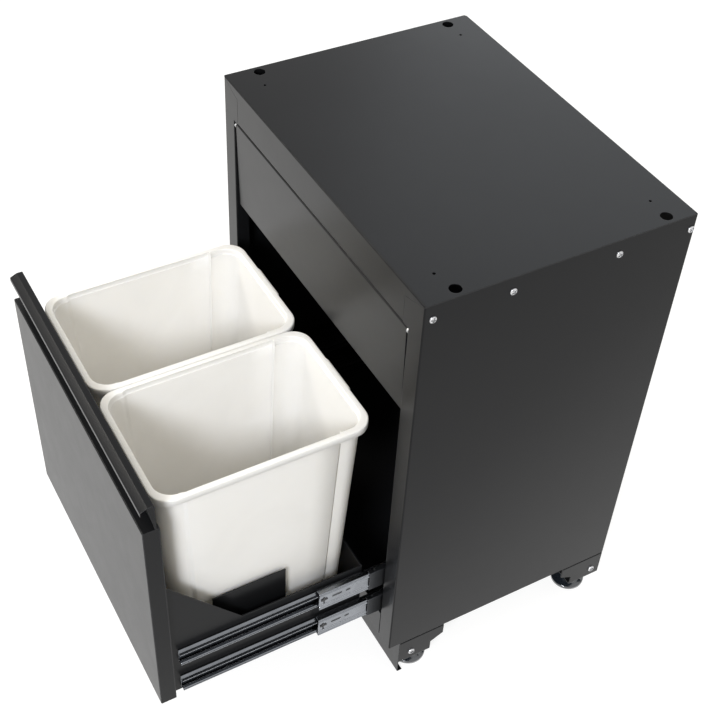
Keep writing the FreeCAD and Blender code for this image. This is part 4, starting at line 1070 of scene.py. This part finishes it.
class CABINET_OT_feet(bpy.types.Operator):
    """Builds the levelling feet: moulded discs and threaded spindles"""
    bl_idname = "cabinet.feet"
    bl_label = "Feet"

    def execute(self, context):
        sizes = context.scene.cabinet_feet
        for place in ("front_left", "front_right", "rear_left", "rear_right"):
            self.disc(place)
            self.spindle(place, sizes)
        return {"FINISHED"}

    def disc(self, place):
        """A glossy disc with a rounded rim, a coned top and a hub."""
        low, high = cad_box("foot_disc_" + place)
        centre = ((low.x + high.x) / 2, (low.y + high.y) / 2, low.z)
        radius, height = (high.x - low.x) / 2, high.z - low.z
        profile = [(0.001, 0.0006), (radius - 0.006, 0.0006), (radius - 0.0045, 0.0),
                   (radius - 0.001, 0.0), (radius, 0.001), (radius, 0.0048)]
        profile += corner_arc((radius - 0.0022, 0.0050), 0.0022, 0, 72, 4)
        profile += [(radius - 0.006, 0.0088), (radius - 0.012, 0.0118), (0.0185, 0.0146),
                    (0.0165, 0.0158), (0.0150, 0.0176), (0.0142, 0.0190), (0.0112, height - 0.0012),
                    (0.0104, height - 0.0002), (0.0098, height), (0.0062, height),
                    (0.0056, height - 0.0008), (0.0052, height - 0.004), (0.001, height - 0.004)]
        mesh = mesh_of("disc_" + place, *turned(profile, centre, 72))
        finished("disc_" + place, mesh, "foot_" + place, "gloss_black_plastic",
                 ("foot_disc_" + place,), 45)

    def spindle(self, place, sizes):
        """A spindle with a rolled thread and a chamfered end."""
        low, high = cad_box("foot_spindle_" + place)
        centre = ((low.x + high.x) / 2, (low.y + high.y) / 2)
        radius, steps = (high.x - low.x) / 2, 24
        rows = int((high.z - low.z) / sizes.pitch * ROWS_PER_TURN)
        points = []
        for row in range(rows + 1):
            height = low.z + (high.z - low.z) * row / rows
            end = min(1.0, (high.z - height) / THREAD_CHAMFER, (height - low.z) / THREAD_CHAMFER)
            for step in range(steps):
                turn = (height - low.z) / sizes.pitch - step / steps
                flank = abs((turn % 1.0) * 2 - 1)
                shape = min(1.0, max(0.0, flank * 1.4 - 0.2))
                far = (radius - sizes.depth * shape) * (0.82 + 0.18 * end)
                angle = 2 * math.pi * step / steps
                points.append((centre[0] + far * math.cos(angle), centre[1] + far * math.sin(angle),
                               height))
        mesh = mesh_of("spindle_" + place, points, ring_faces(rows + 1, steps))
        finished("spindle_" + place, mesh, "foot_" + place, "zinc_fastener",
                 ("foot_spindle_" + place,), 60)


# Soft lights: name, place, point aimed at, side in metres, power in watts, colour
LAMPS = (("key", (2.2, -2.4, 2.6), (0.0, -0.45, 0.55), 0.75, 88, (0.92, 0.95, 1.0)),
         ("rear", (-1.5, 1.9, 2.7), (0.0, -0.1, 0.7), 2.2, 24, (0.88, 0.94, 1.0)),
         ("left", (-1.85, -1.57, 2.85), (0.0, -0.6, 0.6), 0.8, 35, (1.0, 0.96, 0.89)))
# The surround's own light, and the white that is seen of it
WORLD_COLOUR, WORLD_STRENGTH = (1.0, 0.96, 0.87), 0.72
SEEN_COLOUR, SEEN_STRENGTH = (1.0, 1.0, 1.0), 1.0
# The photograph's viewpoint: the camera's place and the directions of its right and its top
CAMERA_PLACE = (1.4707, -1.0508, 2.1811)
CAMERA_RIGHT = (0.484, 0.874, 0.042)
CAMERA_UP = (-0.622, 0.310, 0.718)
SENSOR_WIDTH = 36.0
CLIP_START, CLIP_END = 0.05, 200


class CABINET_OT_studio(bpy.types.Operator):
    """Sets the floor, the lights and the camera"""
    bl_idname = "cabinet.studio"
    bl_label = "Studio"

    def execute(self, context):
        sizes = context.scene.cabinet_studio
        self.floor(context.scene, sizes)
        self.world(context.scene)
        for lamp in LAMPS:
            self.softbox(context.scene, *lamp)
        self.camera(context.scene, sizes)
        return {"FINISHED"}

    def floor(self, scene, sizes):
        """A pale floor that is seen white, with its shadows."""
        half = sizes.floor / 2
        corners = [(-half, -half, 0), (half, -half, 0), (half, half, 0), (-half, half, 0)]
        mesh = mesh_of("studio_floor", corners, [[0, 1, 2, 3]])
        material = bpy.data.materials.new("studio_floor")
        material.use_nodes = True
        tree = material.node_tree
        tree.nodes.clear()
        cloud = noise(tree, 1, 0, own_place(tree, 0, 0), 1.7, 3.0)
        base = tuple(sizes.floor_colour)
        matt = node(tree, "ShaderNodeBsdfDiffuse", 3, 0,
                    {"Color": mixed(tree, 2, 0, cloud, shaded(base, 0.985), shaded(base, 1.015))})
        glow = node(tree, "ShaderNodeEmission", 4, 1,
                    {"Strength": multiplied(tree, 3, 1, self.seen(tree, 1), sizes.background)})
        both = node(tree, "ShaderNodeAddShader", 5, 0, {0: matt.outputs[0], 1: glow.outputs[0]})
        node(tree, "ShaderNodeOutputMaterial", 6, 0, {"Surface": both.outputs[0]})
        floor = bpy.data.objects.new("studio_floor", mesh)
        scene.collection.objects.link(floor)
        mesh.materials.append(material)

    def seen(self, tree, row):
        """1 for rays from the camera, or through glass or off gloss, and 0 for others."""
        path = node(tree, "ShaderNodeLightPath", 1, row + 1).outputs
        first = multiplied(tree, 2, row + 1, path["Is Camera Ray"], path["Is Glossy Ray"], "MAXIMUM")
        return multiplied(tree, 2, row + 2, first, path["Is Transmission Ray"], "MAXIMUM")

    def world(self, scene):
        """An even pale surround, seen white."""
        world = bpy.data.worlds.new("studio")
        world.use_nodes = True
        tree = world.node_tree
        tree.nodes.clear()
        seen = self.seen(tree, 0)
        soft = node(tree, "ShaderNodeBackground", 4, 0,
                    {"Color": mixed(tree, 3, 1, seen, WORLD_COLOUR, SEEN_COLOUR),
                     "Strength": ranged(tree, 3, 0, seen, 0, 1, WORLD_STRENGTH, SEEN_STRENGTH)})
        node(tree, "ShaderNodeOutputWorld", 6, 0, {"Surface": soft.outputs[0]})
        scene.world = world

    def softbox(self, scene, name, place, target, size, power, colour):
        """A square soft light aimed at a point."""
        lamp = bpy.data.lights.new(name, "AREA")
        lamp.shape = "SQUARE"
        lamp.size = size
        lamp.energy = power
        lamp.color = colour
        light = bpy.data.objects.new(name, lamp)
        light.location = place
        light.rotation_euler = (Vector(target) - Vector(place)).to_track_quat("-Z", "Y").to_euler()
        scene.collection.objects.link(light)

    def camera(self, scene, sizes):
        """The photograph's viewpoint."""
        lens = bpy.data.cameras.new("camera")
        lens.lens = sizes.lens
        lens.sensor_width = SENSOR_WIDTH
        lens.sensor_fit = "AUTO"
        lens.clip_start = CLIP_START
        lens.clip_end = CLIP_END
        camera = bpy.data.objects.new("camera", lens)
        right = Vector(CAMERA_RIGHT).normalized()
        back = right.cross(Vector(CAMERA_UP)).normalized()
        turn = Matrix((right, back.cross(right), back)).transposed().to_4x4()
        camera.matrix_world = Matrix.Translation(CAMERA_PLACE) @ turn
        scene.collection.objects.link(camera)
        scene.camera = camera
        scene.view_settings.view_transform = "Standard"


class CABINET_PT_sidebar(bpy.types.Panel):
    """Lists the cabinet's pieces and their sizes"""
    bl_idname = "CABINET_PT_sidebar"
    bl_label = "Cabinet"
    bl_space_type = "VIEW_3D"
    bl_region_type = "UI"
    bl_category = "Cabinet"

    def draw(self, context):
        layout = self.layout
        for operator in OPERATORS:
            layout.operator(operator.bl_idname)
        for name, group in GROUPS_OF_SIZES.items():
            box = layout.box()
            box.label(text=group.__doc__)
            for size in group.__annotations__:
                box.prop(getattr(context.scene, name), size)


GROUPS_OF_SIZES = {
    "cabinet_paint": CabinetPaint, "cabinet_metal": CabinetMetal, "cabinet_slides": CabinetSlides,
    "cabinet_screws": CabinetScrews, "cabinet_bins": CabinetBins, "cabinet_handle": CabinetHandle,
    "cabinet_feet": CabinetFeet, "cabinet_studio": CabinetStudio}
OPERATORS = (
    CABINET_OT_carcass, CABINET_OT_flap, CABINET_OT_drawer, CABINET_OT_handle, CABINET_OT_slides,
    CABINET_OT_screws, CABINET_OT_bins, CABINET_OT_feet, CABINET_OT_studio)
CLASSES = (*GROUPS_OF_SIZES.values(), *OPERATORS, CABINET_PT_sidebar)


def register():
    """Registers the classes and hangs the sizes on the scene."""
    for made in CLASSES:
        bpy.utils.register_class(made)
    for name, group in GROUPS_OF_SIZES.items():
        setattr(bpy.types.Scene, name, bpy.props.PointerProperty(type=group))


def unregister():
    """Takes the sizes off the scene and unregisters the classes."""
    for name in GROUPS_OF_SIZES:
        delattr(bpy.types.Scene, name)
    for made in reversed(CLASSES):
        bpy.utils.unregister_class(made)


def main():
    register()
    for operator in OPERATORS:
        group, name = operator.bl_idname.split(".")
        getattr(getattr(bpy.ops, group), name)()


if __name__ == "__main__":
    main()
